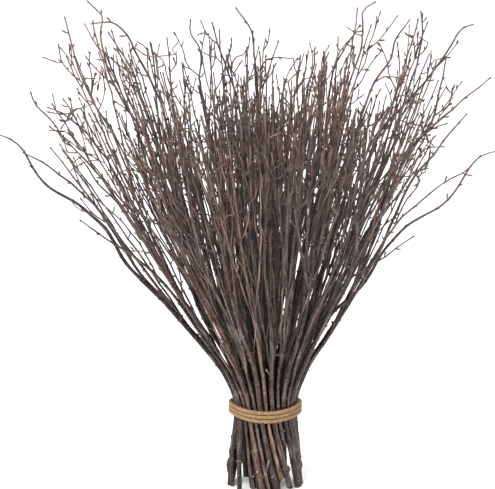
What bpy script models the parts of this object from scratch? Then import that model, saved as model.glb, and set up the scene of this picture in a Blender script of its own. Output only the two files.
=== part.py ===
"""A tied bundle of bare, birch-like twigs that stands on its splayed cut ends.

The frame is in metres with +Z up. The floor is z = 0, and the origin is the middle of the central
twig's cut end. Every twig is one solid, from its cut end through the tie to its branched tips. The tie
is one rope, wound three times round the stems and crossed over itself at the back, where +Y points.
"""

import itertools
import math
import random

import bmesh
import bpy
import numpy as np
from mathutils import Quaternion, Vector

MM = 0.001

# The tie: one rope round all the stems.
TIE_HEIGHT = 68 * MM
TIE_TURNS = 3
ROPE_RADIUS = 1.66 * MM
ROPE_PITCH = 3.62 * MM
ROPE_SIDES = 6
ROPE_STEPS_PER_TURN = 16
ROPE_END_STEPS = 3
TOUCH_GAP = 0.3 * MM
BUNDLE_RADIUS = 29.0 * MM

# The stems stand in rings inside the tie. SOLID_STEMS of each ring's stems are modelled here.
RING_STEMS = (1, 6, 12, 18, 25, 31)
SOLID_STEMS = (1, 2, 4, 8, 12, 31)
RING_STEP = 5.3 * MM
RING_SEED = 1000
STEM_RADIUS = (1.65 * MM, 2.25 * MM)
TIP_RADIUS = 0.6 * MM
TAPER = 0.7
STEM_SIDES = 5
FORK_SIDES = 4
CORNER_REACH = 1.1
SHARP_ANGLE = math.radians(75)

# The feet: splayed, turned, and cut nearly level. The stems run straight through the tie's band.
TIE_BAND = 9 * MM
FOOT_SPREAD = 0.165
FOOT_CURVE = 0.8
FOOT_SHIFT = 2.2 * MM
FOOT_STRAY = 3.4 * MM
FOOT_LIFT = (0.4 * MM, 2.2 * MM)
LIFTED_SHARE = 0.35
FOOT_TURN = math.radians(25)
FOOT_FLARE = (0.0, 0.3)
LEG_FLARE = (0.25, 0.42)

# The gaps beside the outer legs: stems whose feet would stand there are cut short above them, except for
# one second leg on either side at the front. SECOND_LEGS gives their places in the outer ring, and how
# far sideways their feet are kicked.
FOOT_GAP = (18.5 * MM, 28.4 * MM)
SHORT_CUT = (33 * MM, 42 * MM)
LOW_GAP = (12.6 * MM, 18.5 * MM)
LOW_CUT = (7 * MM, 11 * MM)
SECOND_LEGS = {18: -7.4 * MM, 24: 2.6 * MM}

# Above the tie the stems fan out.
FAN_TURN = math.radians(16)
FAN_TURN_RISE = 80 * MM
FAN_SLOPE = 0.77
FAN_BEND = 20 * MM
FAN_EASE = 290 * MM
FAN_STEPS = (0.12, 0.3, 0.52, 0.76, 1.0)
INNER_RISE = 304 * MM
OUTER_RISE = 266 * MM
RISE_RANGE = (0.86, 1.06)
LEAN_RANGE = (0.84, 1.05)
INNER_LEAN = 0.32
WANDER = 8 * MM
NUDGE = 1.5 * MM
NUDGE_ATTEMPTS = 8
LOW_STANDOUT = 240 * MM
LOW_STEPS = (0.25, 0.6)
HIGH_STEPS = (0.12, 0.35, 0.67)
BEARING_CURVE = 1.5
FAN_START = 3

# Forks leave a stem above the tie and run along beside it.
FORK_LEVELS = ((0.1, 0.36), (0.4, 0.6))
FORK_SHARE = (0.93, 0.58)
FORK_STEPS = (0.42, 1.0)
FORK_LENGTH = (0.72, 0.98)
FORK_SPREAD = (14 * MM, 34 * MM)
FORK_CURVE = 0.75
FORK_INWARD = 1.3
FORK_THINNING = 0.72
TRIES = 60
LEAST_GAIN = 0.01 * MM
PROBE_STEP = 3 * MM
PROBE_GAP = 0.33 * MM

# The twigs that stand out of the fan, read from the photograph: each has its depth behind the tie's
# axis, then its places across and up, from inside the fan to its tip, all in millimetres.
SIDE_TWIGS = (
    (-5, ((-89, 166), (-122, 200), (-142, 233), (-163, 253), (-191, 270), (-227, 314), (-233, 316))),
    (12, ((-117, 197), (-137, 230), (-150, 249), (-172, 270), (-197, 289), (-212, 297))),
    (-25, ((-89, 187), (-122, 216), (-137, 225), (-161, 243))),
    (35, ((-122, 234), (-133, 250), (-150, 268), (-165, 290))),
)
SIDE_FORKS = {
    1: ((-150, 249), (-158, 270), (-170, 290), (-165, 294)),
    2: ((-97, 193), (-110, 222), (-121, 237), (-148, 263)),
}
TOP_TWIGS = (
    (10, ((-113, 325), (-124, 341), (-139, 374), (-145, 407), (-143, 418), (-155, 431))),
    (50, ((-95, 341), (-116, 384), (-123, 398), (-137, 411), (-153, 410))),
    (-20, ((-136, 323), (-149, 345), (-158, 363), (-169, 399), (-173, 418))),
    (-40, ((-135, 273), (-152, 294), (-174, 317), (-186, 334), (-201, 351), (-203, 356))),
    (30, ((-148, 299), (-166, 320), (-184, 333), (-192, 336))),
    (80, ((-109, 329), (-125, 373), (-141, 397))),
    (100, ((-98, 317), (-101, 361), (-104, 385))),
    (110, ((-55, 326), (-60, 353), (-60, 383), (-69, 398), (-69, 407))),
    (40, ((-23, 333), (-30, 359), (-38, 379), (-47, 409))),
    (60, ((-7, 349), (-10, 385), (-13, 404), (-25, 421))),
    (-60, ((40, 350), (46, 374), (52, 392))),
    (30, ((36, 343), (40, 365), (44, 377), (43, 388))),
    (20, ((71, 349), (84, 391), (86, 406), (88, 426), (94, 430))),
    (70, ((59, 350), (62, 366), (74, 390), (78, 396))),
    (-30, ((86, 346), (92, 362), (108, 387), (111, 400), (122, 417))),
    (60, ((126, 340), (138, 380), (141, 395), (140, 418))),
    (5, ((105, 324), (122, 342), (147, 371), (161, 392), (174, 410), (179, 412))),
    (40, ((130, 297), (150, 325), (154, 342), (158, 363), (161, 378))),
    (-10, ((118, 295), (139, 318), (159, 336), (181, 355), (195, 366))),
    (-60, ((129, 289), (147, 311), (152, 318), (170, 340))),
)
TOP_FORKS = {
    2: ((-158, 363), (-169, 372), (-177, 382), (-180, 394)),
    4: ((-157, 309), (-167, 336), (-174, 330), (-181, 320)),
    8: ((-33, 367), (-33, 378), (-30, 395)),
    17: ((150, 325), (163, 337), (168, 353)),
}
# The right edge of the fan is the left edge turned over, and a little lower.
MIRROR_SHIFT = -33.5
MIRROR_DROP = 14.5

# The rope's two ends at the back, wrapped once round each other over the turns: places in millimetres as
# (along the rope's circle, up, out) from the tie's middle at the back.
LOW_END = (
    (-12, 17, 4.6), (-11.4, 12, 5.8), (-8.6, 7.4, 7.8), (-4.2, 3.6, 9.0), (2.2, 2.5, 6.6), (4.6, -3.2, 4.3),
    (7.0, -5.3, 2.4),
)
HIGH_END = (
    (-7.0, 5.3, 2.4), (-4.6, 3.2, 4.3), (-2.2, -2.5, 6.6), (4.2, -3.6, 9.0), (8.6, -7.4, 7.8),
    (10.4, -13, 5.2), (11, -21, 3.6),
)
ROPE_START_ANGLE = math.radians(17)
# The tie stands a little lower on the right, and higher at both sides than at the front and back.
TIE_TILT = 0.03
SIDE_RISE = 3.6 * MM

BARK_COLOURS = ((0.075, 0.048, 0.040), (0.100, 0.066, 0.054), (0.060, 0.042, 0.038), (0.120, 0.070, 0.052))
BARK_ROUGHNESS = 0.55
ROPE_COLOUR = (0.33, 0.22, 0.13)
ROPE_ROUGHNESS = 0.9


def clear_scene():
    for thing in list(bpy.data.objects):
        bpy.data.objects.remove(thing, do_unlink=True)


def material(name, colour, roughness):
    made = bpy.data.materials.new(name)
    made.use_nodes = True
    shader = made.node_tree.nodes["Principled BSDF"]
    shader.inputs["Base Color"].default_value = (*colour, 1.0)
    shader.inputs["Roughness"].default_value = roughness
    shader.inputs["Metallic"].default_value = 0.0
    return made


def turned(point, angle):
    """The point turned about the bundle's axis."""
    cosine = math.cos(angle)
    sine = math.sin(angle)
    return Vector((point.x * cosine - point.y * sine, point.x * sine + point.y * cosine, point.z))


def fan_spread(height):
    """How many times further out the stems stand at this height than in the tie."""
    if height < TIE_HEIGHT:
        below = max(0.0, TIE_HEIGHT - TIE_BAND - height) / (TIE_HEIGHT - TIE_BAND)
        return 1.0 + FOOT_SPREAD * below**FOOT_CURVE
    rise = math.hypot(max(0.0, height - TIE_HEIGHT - TIE_BAND), FAN_BEND) - FAN_BEND
    return 1.0 + FAN_SLOPE * FAN_EASE * (1.0 - math.exp(-rise / FAN_EASE)) / BUNDLE_RADIUS


def fan_turn(height):
    """How far the whole bundle is screwed round at this height, against the tie."""
    if height < TIE_HEIGHT:
        return FOOT_TURN * (TIE_HEIGHT - height) / TIE_HEIGHT
    return -FAN_TURN * (1.0 - math.exp((TIE_HEIGHT - height) / FAN_TURN_RISE))


def carried(spot, height, lean=1.0):
    """Where the stem that stands at this spot in the tie is at the given height."""
    spread = 1.0 + (fan_spread(height) - 1.0) * lean
    return turned(Vector((spot.x * spread, spot.y * spread, height)), fan_turn(height))


def stem_spots():
    """Every stem's spot in the tie, ring by ring from the middle: its ring, place, radius and whether
    it is one of the solids here."""
    spots = []
    for ring, count in enumerate(RING_STEMS):
        solid_places = {round(step * count / SOLID_STEMS[ring]) for step in range(SOLID_STEMS[ring])}
        for place in range(count):
            draw = random.Random(RING_SEED * ring + place)
            radius = draw.uniform(*STEM_RADIUS)
            distance = ring * RING_STEP
            if ring == len(RING_STEMS) - 1:
                distance = BUNDLE_RADIUS - CORNER_REACH * radius
            angle = 2 * math.pi * (place + 0.5 * (ring % 2)) / count
            spot = Vector((distance * math.cos(angle), distance * math.sin(angle), TIE_HEIGHT))
            spots.append({"spot": spot, "ring": ring, "place": place, "radius": radius,
                          "solid": place in solid_places, "draw": draw})
    return spots


def standout_routes():
    """The twigs that stand out of the fan: for each, its visible places and those of its fork."""
    routes = []
    for number, (depth, places) in enumerate(SIDE_TWIGS):
        fork = SIDE_FORKS.get(number, ())
        routes.append((depth, places, fork))
        other_side = [tuple((MIRROR_SHIFT - x, z - MIRROR_DROP) for x, z in run) for run in (places, fork)]
        routes.append((depth, *other_side))
    for number, (depth, places) in enumerate(TOP_TWIGS):
        routes.append((depth, places, TOP_FORKS.get(number, ())))
    return [
        tuple([Vector((x * MM, depth * MM, z * MM)) for x, z in run] for run in (places, fork))
        for depth, places, fork in routes
    ]


def give_out(routes, spots):
    """Gives each standout route the solid spot in the tie that its stem would come from. Two routes
    change spots where that brings both nearer, so that no two stems cross on their way up."""
    homes = []
    for route in routes:
        start = route[0][0]
        homes.append(turned(start, -fan_turn(start.z)) / fan_spread(start.z))

    def way(number, spot):
        return (spots[spot]["spot"] - homes[number]).xy.length

    free = [number for number, spot in enumerate(spots) if spot["solid"] and spot["ring"] > 0]
    given = []
    for number in range(len(routes)):
        nearest = min(free, key=lambda spot: way(number, spot))
        free.remove(nearest)
        given.append(nearest)
    changed = True
    while changed:
        changed = False
        for one, other in itertools.combinations(range(len(routes)), 2):
            kept = way(one, given[one]) + way(other, given[other])
            if way(one, given[other]) + way(other, given[one]) < kept - LEAST_GAIN:
                given[one], given[other] = given[other], given[one]
                changed = True
    return dict(zip(given, routes))


def draw_within(stem, most):
    """A random shift, up to this much either way."""
    return stem["draw"].uniform(-most, most)


def foot_route(stem, attempt):
    """The stem's places from its cut end up to the top of the tie's straight band. The outer stems
    stray from their neighbours. One on either side at the front is a second leg, and the others that
    would stand in the gaps beside it are cut short above them."""
    foot = carried(stem["spot"], 0.0)
    outer = stem["ring"] == len(RING_STEMS) - 1
    second = outer and stem["place"] in SECOND_LEGS
    shift = Vector((0.0, 0.0, 0.0))
    if outer:
        loose = 1.0 - attempt / TRIES
        outward = Vector((foot.x, foot.y, 0.0)).normalized()
        along = Vector((-outward.y, outward.x, 0.0))
        shift = outward * stem["draw"].uniform(0, FOOT_STRAY) * abs(outward.y) * loose
        shift += along * draw_within(stem, FOOT_SHIFT) * loose
        if second:
            shift.x = SECOND_LEGS[stem["place"]]
        foot += shift
    lift = 0.0
    if FOOT_GAP[0] < abs(foot.x) < FOOT_GAP[1] and not second:
        lift = stem["draw"].uniform(*SHORT_CUT)
    elif LOW_GAP[0] < abs(foot.x) < LOW_GAP[1] and not second:
        lift = stem["draw"].uniform(*LOW_CUT)
    elif stem["ring"] > 0 and stem["draw"].random() < LIFTED_SHARE:
        lift = stem["draw"].uniform(*FOOT_LIFT)
    low = TIE_HEIGHT - TIE_BAND
    route = []
    for height in (lift, 0.5 * (lift + low), low, TIE_HEIGHT + TIE_BAND):
        route.append(carried(stem["spot"], height) + shift * max(0.0, 1.0 - height / low))
    return route


def standout_stem(stem, places, attempt):
    """A standout twig's whole route. It leaves the tie with the fan and bears away to its own places."""
    foot = foot_route(stem, attempt)
    base = foot[-1].z
    bearing = places[0] - carried(stem["spot"], places[0].z)
    loose = NUDGE * (1 + attempt / NUDGE_ATTEMPTS)
    between = []
    for step in LOW_STEPS if places[0].z < LOW_STANDOUT else HIGH_STEPS:
        place = carried(stem["spot"], base + (places[0].z - base) * step) + bearing * step**BEARING_CURVE
        place += Vector((draw_within(stem, loose * step), draw_within(stem, loose * step), 0.0))
        between.append(place)
    return foot + between + places


def fan_stem(stem, attempt):
    """A common twig's whole route: with the fan, wandering a little more the higher it goes."""
    draw = stem["draw"]
    share = stem["ring"] / (len(RING_STEMS) - 1)
    rise = (INNER_RISE + (OUTER_RISE - INNER_RISE) * share) * draw.uniform(*RISE_RANGE)
    lean = draw.uniform(*LEAN_RANGE) * (1.0 + INNER_LEAN * (1.0 - share))
    route = foot_route(stem, attempt)
    base = TIE_HEIGHT + TIE_BAND
    for step in FAN_STEPS:
        place = carried(stem["spot"], base + rise * step, lean)
        loose = (WANDER + NUDGE * attempt / NUDGE_ATTEMPTS) * step
        place += Vector((draw_within(stem, loose), draw_within(stem, loose), 0.0))
        route.append(place)
    return route


def tapered(route, thick, thin):
    """The radius at each place of a route, thinning slowly first and faster towards the tip."""
    lengths = [0.0]
    for before, after in zip(route, route[1:]):
        lengths.append(lengths[-1] + (after - before).length)
    return [thin + (thick - thin) * (1.0 - length / lengths[-1]) ** TAPER for length in lengths]


def stem_radii(stem, route, attempt):
    """A stem's radii. The outer stems are thicker at the foot, and the legs at the sides the most."""
    radii = tapered(route, stem["radius"], TIP_RADIUS)
    if stem["ring"] == len(RING_STEMS) - 1:
        flares = LEG_FLARE if abs(route[0].x) > FOOT_GAP[1] else FOOT_FLARE
        flare = stem["draw"].uniform(*flares) * (1.0 - attempt / TRIES)
        radii[0] *= 1.0 + flare
        radii[1] *= 1.0 + 0.5 * flare
    return radii


class Room:
    """The space already taken, as the straight runs of every stem and fork with their radii."""

    def __init__(self):
        self.starts = []
        self.ends = []
        self.radii = []
        self.owners = []

    def take(self, owner, route, radii):
        for before, after, radius in zip(route, route[1:], radii):
            self.starts.append(tuple(before))
            self.ends.append(tuple(after))
            self.radii.append(CORNER_REACH * radius)
            self.owners.append(owner)

    def is_free(self, owner, route, radii):
        """Whether a route keeps clear of everything that another twig has taken."""
        others = np.array(self.owners) != owner
        if not others.any():
            return True
        starts = np.array(self.starts)[others]
        runs = np.array(self.ends)[others] - starts
        squares = np.einsum("ij,ij->i", runs, runs)
        reach = np.array(self.radii)[others] + PROBE_GAP
        for before, after, radius in zip(route, route[1:], radii):
            steps = max(2, int((after - before).length / PROBE_STEP))
            for step in range(steps + 1):
                probe = np.array(before.lerp(after, step / steps))
                along = np.clip(np.einsum("ij,ij->i", probe - starts, runs) / squares, 0.0, 1.0)
                gaps = np.linalg.norm(starts + runs * along[:, None] - probe, axis=1)
                if (gaps < reach + CORNER_REACH * radius).any():
                    return False
        return True


def place_on(route, radii, share):
    """The place, direction and radius at a share of a route's height above the tie."""
    low = route[FAN_START].z
    height = low + share * (max(place.z for place in route) - low)
    for number in range(FAN_START, len(route) - 1):
        before = route[number]
        after = route[number + 1]
        if before.z <= height <= after.z:
            t = (height - before.z) / (after.z - before.z)
            radius = radii[number] + (radii[number + 1] - radii[number]) * t
            return before.lerp(after, t), (after - before).normalized(), radius
    return route[-2], (route[-1] - route[-2]).normalized(), radii[-2]


def fan_fork(stem, route, radii, level):
    """A fork's route: it leaves the stem at a small angle and then runs on beside it."""
    draw = stem["draw"]
    start, ahead, radius = place_on(route, radii, draw.uniform(*level))
    length = (route[-1] - start).length * draw.uniform(*FORK_LENGTH)
    side = Vector((draw.uniform(-1, 1), draw.uniform(-1, 1), 0.0))
    outward = Vector((start.x, start.y, 0.0)).normalized()
    side -= outward * FORK_INWARD * max(0.0, side.dot(outward))
    side = (side - ahead * side.dot(ahead)).normalized()
    spread = draw.uniform(*FORK_SPREAD)
    fork = [start]
    for step in FORK_STEPS:
        fork.append(start + ahead * length * step + side * spread * step**FORK_CURVE)
    return fork, FORK_THINNING * radius


def plan_bundle():
    """Every solid twig: its stem's route and radii, and those of its forks."""
    spots = stem_spots()
    owners = give_out(standout_routes(), spots)
    room = Room()
    twigs = {}
    common = [number for number, spot in enumerate(spots) if spot["solid"] and number not in owners]
    for number in [*owners, *common]:
        stem = spots[number]
        for attempt in range(TRIES):
            if number in owners:
                route = standout_stem(stem, owners[number][0], attempt)
            else:
                route = fan_stem(stem, attempt)
            radii = stem_radii(stem, route, attempt)
            if room.is_free(number, route, radii):
                break
        room.take(number, route, radii)
        twigs[number] = [(route, radii)]
    for number, (_, fork) in owners.items():
        if fork:
            route, radii = twigs[number][0]
            nearest = min(range(len(route)), key=lambda place: (route[place] - fork[0]).length)
            fork_radii = tapered(fork, FORK_THINNING * radii[nearest], TIP_RADIUS)
            room.take(number, fork, fork_radii)
            twigs[number].append((fork, fork_radii))
    for number in sorted(twigs):
        stem = spots[number]
        route, radii = twigs[number][0]
        for level, share in zip(FORK_LEVELS, FORK_SHARE):
            if stem["draw"].random() > share:
                continue
            for _ in range(TRIES):
                fork, thick = fan_fork(stem, route, radii, level)
                fork_radii = tapered(fork, thick, TIP_RADIUS)
                if room.is_free(number, fork, fork_radii):
                    room.take(number, fork, fork_radii)
                    twigs[number].append((fork, fork_radii))
                    break
    return [twigs[number] for number in sorted(twigs)]


def add_tube(name, route, radii, sides, flat_start):
    """A closed tube along a route, with its corners at the given radii. A flat start is cut level, as
    the cut ends on the floor are."""
    made = bmesh.new()
    ahead = Vector((0, 0, 1)) if flat_start else (route[1] - route[0]).normalized()
    side = ahead.orthogonal().normalized()
    rings = []
    for number, (place, radius) in enumerate(zip(route, radii)):
        before = route[max(number - 1, 0)]
        after = route[min(number + 1, len(route) - 1)]
        turn_to = (after - before).normalized()
        if number == 0:
            turn_to = ahead
        side = ahead.rotation_difference(turn_to) @ side
        ahead = turn_to
        ring = []
        for corner in range(sides):
            spoke = Quaternion(ahead, 2 * math.pi * corner / sides) @ side
            ring.append(made.verts.new(place + spoke * radius))
        rings.append(ring)
    for lower, upper in zip(rings, rings[1:]):
        for corner in range(sides):
            onward = (corner + 1) % sides
            made.faces.new((lower[corner], lower[onward], upper[onward], upper[corner]))
    made.faces.new(reversed(rings[0]))
    made.faces.new(rings[-1])
    mesh = bpy.data.meshes.new(name)
    made.to_mesh(mesh)
    made.free()
    mesh.shade_smooth()
    mesh.set_sharp_from_angle(angle=SHARP_ANGLE)
    tube = bpy.data.objects.new(name, mesh)
    bpy.context.scene.collection.objects.link(tube)
    return tube


def cornered(radii):
    """The radii of a twig's corners, which lie a little outside the round twig that they stand for."""
    return [CORNER_REACH * radius for radius in radii]


def add_twig(name, runs, bark):
    """One twig: its stem, with its forks joined to it by a Boolean union."""
    route, radii = runs[0]
    twig = add_tube(name, route, cornered(radii), STEM_SIDES, flat_start=True)
    twig.data.materials.append(bark)
    forks = bpy.data.collections.new(name + "_forks")
    for number, (fork, fork_radii) in enumerate(runs[1:], start=1):
        branch = add_tube(f"{name}_fork_{number}", fork, cornered(fork_radii), FORK_SIDES, flat_start=False)
        branch.hide_render = True
        branch.display_type = "WIRE"
        forks.objects.link(branch)
    if len(runs) > 1:
        union = twig.modifiers.new("forks", "BOOLEAN")
        union.operation = "UNION"
        union.operand_type = "COLLECTION"
        union.collection = forks


def smooth_run(places, steps):
    """A run through all the places, with the given number of steps between each two."""
    padded = [2 * places[0] - places[1], *places, 2 * places[-1] - places[-2]]
    run = []
    for p0, p1, p2, p3 in zip(padded, padded[1:], padded[2:], padded[3:]):
        for step in range(steps):
            t = step / steps
            run.append(
                0.5 * (2 * p1 + (p2 - p0) * t + (2 * p0 - 5 * p1 + 4 * p2 - p3) * t**2
                       + (3 * p1 - p0 - 3 * p2 + p3) * t**3)
            )
    run.append(places[-1])
    return run


def tie_shift(angle):
    """How much higher the rope runs at this angle than at the front and back."""
    return SIDE_RISE * math.cos(angle) ** 2 - TIE_TILT * (BUNDLE_RADIUS + ROPE_RADIUS) * math.cos(angle)


def rope_route():
    """The rope from one end to the other: an end at the back, three turns upwards, the other end."""
    steps = TIE_TURNS * ROPE_STEPS_PER_TURN
    flat_loss = (ROPE_RADIUS + BUNDLE_RADIUS) * (1 - math.cos(math.pi / ROPE_STEPS_PER_TURN))
    circle = BUNDLE_RADIUS + TOUCH_GAP + ROPE_RADIUS + flat_loss
    back = math.pi / 2

    def behind(place):
        across, up, out = (value * MM for value in place)
        angle = back + across / circle
        height = TIE_HEIGHT + up + tie_shift(angle)
        return Vector(((circle + out) * math.cos(angle), (circle + out) * math.sin(angle), height))

    winding = []
    first = ROPE_START_ANGLE
    last = 2 * math.pi * TIE_TURNS - ROPE_START_ANGLE
    for step in range(steps + 1):
        angle = first + (last - first) * step / steps
        height = TIE_HEIGHT + ROPE_PITCH * (angle / (2 * math.pi) - TIE_TURNS / 2)
        height += tie_shift(back + angle)
        winding.append(Vector((circle * math.cos(back + angle), circle * math.sin(back + angle), height)))
    low_end = smooth_run([*map(behind, LOW_END), winding[0]], ROPE_END_STEPS)
    high_end = smooth_run([winding[-1], *map(behind, HIGH_END)], ROPE_END_STEPS)
    return low_end + winding[1:-1] + high_end


def add_tie(jute):
    """The rope as one plain tube."""
    route = rope_route()
    tie = add_tube("tie", route, [ROPE_RADIUS] * len(route), ROPE_SIDES, flat_start=False)
    tie.data.materials.append(jute)


def main():
    clear_scene()
    barks = [material(f"bark_{number}", colour, BARK_ROUGHNESS)
             for number, colour in enumerate(BARK_COLOURS, start=1)]
    for number, runs in enumerate(plan_bundle(), start=1):
        add_twig(f"twig_{number:02d}", runs, barks[number % len(barks)])
    add_tie(material("jute", ROPE_COLOUR, ROPE_ROUGHNESS))


main()
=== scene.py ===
import itertools
import math
import random

import bpy
import numpy as np
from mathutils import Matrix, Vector


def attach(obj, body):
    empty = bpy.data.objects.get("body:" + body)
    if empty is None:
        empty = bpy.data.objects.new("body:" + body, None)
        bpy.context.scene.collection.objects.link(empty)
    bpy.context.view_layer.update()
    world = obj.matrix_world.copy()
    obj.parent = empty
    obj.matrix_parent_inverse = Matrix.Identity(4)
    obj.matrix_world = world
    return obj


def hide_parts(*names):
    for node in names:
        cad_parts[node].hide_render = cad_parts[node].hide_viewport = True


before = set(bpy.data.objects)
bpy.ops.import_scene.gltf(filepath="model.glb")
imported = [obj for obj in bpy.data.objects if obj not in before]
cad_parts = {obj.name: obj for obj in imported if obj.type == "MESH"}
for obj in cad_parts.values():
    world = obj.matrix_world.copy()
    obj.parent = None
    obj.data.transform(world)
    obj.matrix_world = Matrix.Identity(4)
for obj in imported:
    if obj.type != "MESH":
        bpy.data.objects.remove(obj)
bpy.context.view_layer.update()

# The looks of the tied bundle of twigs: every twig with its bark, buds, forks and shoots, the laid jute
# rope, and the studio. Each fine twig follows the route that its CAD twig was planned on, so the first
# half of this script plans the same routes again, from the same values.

MM = 0.001

# The tie and the stems in it, as in the CAD.
TIE_HEIGHT = 68 * MM
TIE_TURNS = 3
ROPE_RADIUS = 1.66 * MM
ROPE_PITCH = 3.62 * MM
ROPE_STEPS_PER_TURN = 16
TOUCH_GAP = 0.3 * MM
BUNDLE_RADIUS = 29.0 * MM
RING_STEMS = (1, 6, 12, 18, 25, 31)
SOLID_STEMS = (1, 2, 4, 8, 12, 31)
OUTER_RING = len(RING_STEMS) - 1
RING_STEP = 5.3 * MM
RING_SEED = 1000
STEM_RADIUS = (1.65 * MM, 2.25 * MM)
TIP_RADIUS = 0.6 * MM
TAPER = 0.7
CORNER_REACH = 1.1

# How the stems run, as in the CAD.
TIE_BAND = 9 * MM
FOOT_SPREAD = 0.165
FOOT_CURVE = 0.8
FOOT_SHIFT = 2.2 * MM
FOOT_STRAY = 3.4 * MM
FOOT_GAP = (18.5 * MM, 28.4 * MM)
SHORT_CUT = (33 * MM, 42 * MM)
LOW_GAP = (12.6 * MM, 18.5 * MM)
LOW_CUT = (7 * MM, 11 * MM)
SECOND_LEGS = {18: -7.4 * MM, 24: 2.6 * MM}
FOOT_FLARE = (0.0, 0.3)
LEG_FLARE = (0.25, 0.42)
FOOT_LIFT = (0.4 * MM, 2.2 * MM)
LIFTED_SHARE = 0.35
FOOT_TURN = math.radians(25)
FAN_TURN = math.radians(16)
FAN_TURN_RISE = 80 * MM
FAN_SLOPE = 0.77
FAN_BEND = 20 * MM
FAN_EASE = 290 * MM
FAN_STEPS = (0.12, 0.3, 0.52, 0.76, 1.0)
INNER_RISE = 304 * MM
OUTER_RISE = 266 * MM
RISE_RANGE = (0.86, 1.06)
LEAN_RANGE = (0.84, 1.05)
INNER_LEAN = 0.32
WANDER = 8 * MM
NUDGE = 1.5 * MM
NUDGE_ATTEMPTS = 8
LOW_STANDOUT = 240 * MM
LOW_STEPS = (0.25, 0.6)
HIGH_STEPS = (0.12, 0.35, 0.67)
BEARING_CURVE = 1.5
FAN_START = 3

# The main forks, as in the CAD.
FORK_LEVELS = ((0.1, 0.36), (0.4, 0.6))
FORK_SHARE = (0.93, 0.58)
FORK_STEPS = (0.42, 1.0)
FORK_LENGTH = (0.72, 0.98)
FORK_SPREAD = (14 * MM, 34 * MM)
FORK_CURVE = 0.75
FORK_INWARD = 1.3
FORK_THINNING = 0.72
TRIES = 60
LEAST_GAIN = 0.01 * MM
PROBE_STEP = 3 * MM
PROBE_GAP = 0.33 * MM

# The twigs that stand out of the fan, as in the CAD: depth, then places across and up, in millimetres.
SIDE_TWIGS = (
    (-5, ((-89, 166), (-122, 200), (-142, 233), (-163, 253), (-191, 270), (-227, 314), (-233, 316))),
    (12, ((-117, 197), (-137, 230), (-150, 249), (-172, 270), (-197, 289), (-212, 297))),
    (-25, ((-89, 187), (-122, 216), (-137, 225), (-161, 243))),
    (35, ((-122, 234), (-133, 250), (-150, 268), (-165, 290))),
)
SIDE_FORKS = {
    1: ((-150, 249), (-158, 270), (-170, 290), (-165, 294)),
    2: ((-97, 193), (-110, 222), (-121, 237), (-148, 263)),
}
TOP_TWIGS = (
    (10, ((-113, 325), (-124, 341), (-139, 374), (-145, 407), (-143, 418), (-155, 431))),
    (50, ((-95, 341), (-116, 384), (-123, 398), (-137, 411), (-153, 410))),
    (-20, ((-136, 323), (-149, 345), (-158, 363), (-169, 399), (-173, 418))),
    (-40, ((-135, 273), (-152, 294), (-174, 317), (-186, 334), (-201, 351), (-203, 356))),
    (30, ((-148, 299), (-166, 320), (-184, 333), (-192, 336))),
    (80, ((-109, 329), (-125, 373), (-141, 397))),
    (100, ((-98, 317), (-101, 361), (-104, 385))),
    (110, ((-55, 326), (-60, 353), (-60, 383), (-69, 398), (-69, 407))),
    (40, ((-23, 333), (-30, 359), (-38, 379), (-47, 409))),
    (60, ((-7, 349), (-10, 385), (-13, 404), (-25, 421))),
    (-60, ((40, 350), (46, 374), (52, 392))),
    (30, ((36, 343), (40, 365), (44, 377), (43, 388))),
    (20, ((71, 349), (84, 391), (86, 406), (88, 426), (94, 430))),
    (70, ((59, 350), (62, 366), (74, 390), (78, 396))),
    (-30, ((86, 346), (92, 362), (108, 387), (111, 400), (122, 417))),
    (60, ((126, 340), (138, 380), (141, 395), (140, 418))),
    (5, ((105, 324), (122, 342), (147, 371), (161, 392), (174, 410), (179, 412))),
    (40, ((130, 297), (150, 325), (154, 342), (158, 363), (161, 378))),
    (-10, ((118, 295), (139, 318), (159, 336), (181, 355), (195, 366))),
    (-60, ((129, 289), (147, 311), (152, 318), (170, 340))),
)
TOP_FORKS = {
    2: ((-158, 363), (-169, 372), (-177, 382), (-180, 394)),
    4: ((-157, 309), (-167, 336), (-174, 330), (-181, 320)),
    8: ((-33, 367), (-33, 378), (-30, 395)),
    17: ((150, 325), (163, 337), (168, 353)),
}
MIRROR_SHIFT = -33.5
MIRROR_DROP = 14.5

# The rope's two ends at the back, as in the CAD: (along the rope's circle, up, out) in millimetres.
LOW_END = (
    (-12, 17, 4.6), (-11.4, 12, 5.8), (-8.6, 7.4, 7.8), (-4.2, 3.6, 9.0), (2.2, 2.5, 6.6), (4.6, -3.2, 4.3),
    (7.0, -5.3, 2.4),
)
HIGH_END = (
    (-7.0, 5.3, 2.4), (-4.6, 3.2, 4.3), (-2.2, -2.5, 6.6), (4.2, -3.6, 9.0), (8.6, -7.4, 7.8),
    (10.4, -13, 5.2), (11, -21, 3.6),
)
ROPE_START_ANGLE = math.radians(17)
TIE_TILT = 0.03
SIDE_RISE = 3.6 * MM

# Finer forks, which only this script has. The inner rings and the twigs that reach far to a side keep
# only a share of them, and some main forks bear none.
LOOK_SEED = 7000
FINE_STEP = 0.8 * MM
FINE_FORKS = ((0.06, 0.28), (0.3, 0.5), (0.45, 0.65), (0.6, 0.8))
FINE_FORK_SHARE = (0.42, 0.5, 0.72, 0.65)
FINE_FORK_LENGTH = (0.68, 0.98)
FINE_FORK_SPREAD = (8 * MM, 26 * MM)
FINE_FORK_STEPS = (0.0, 0.3, 0.62, 1.0)
FINE_FORK_CURVE = 0.8
FINE_FORK_TRIES = 12
FINE_THINNING = 0.7
FINE_RADIUS = 0.57 * MM
BARE_SHARE = 0.4
CROWDED_SIDE = 100 * MM
CROWDED_RINGS = 4
CROWDED_SHARE = 0.7
RIGHT_SHARE = 0.3

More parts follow.
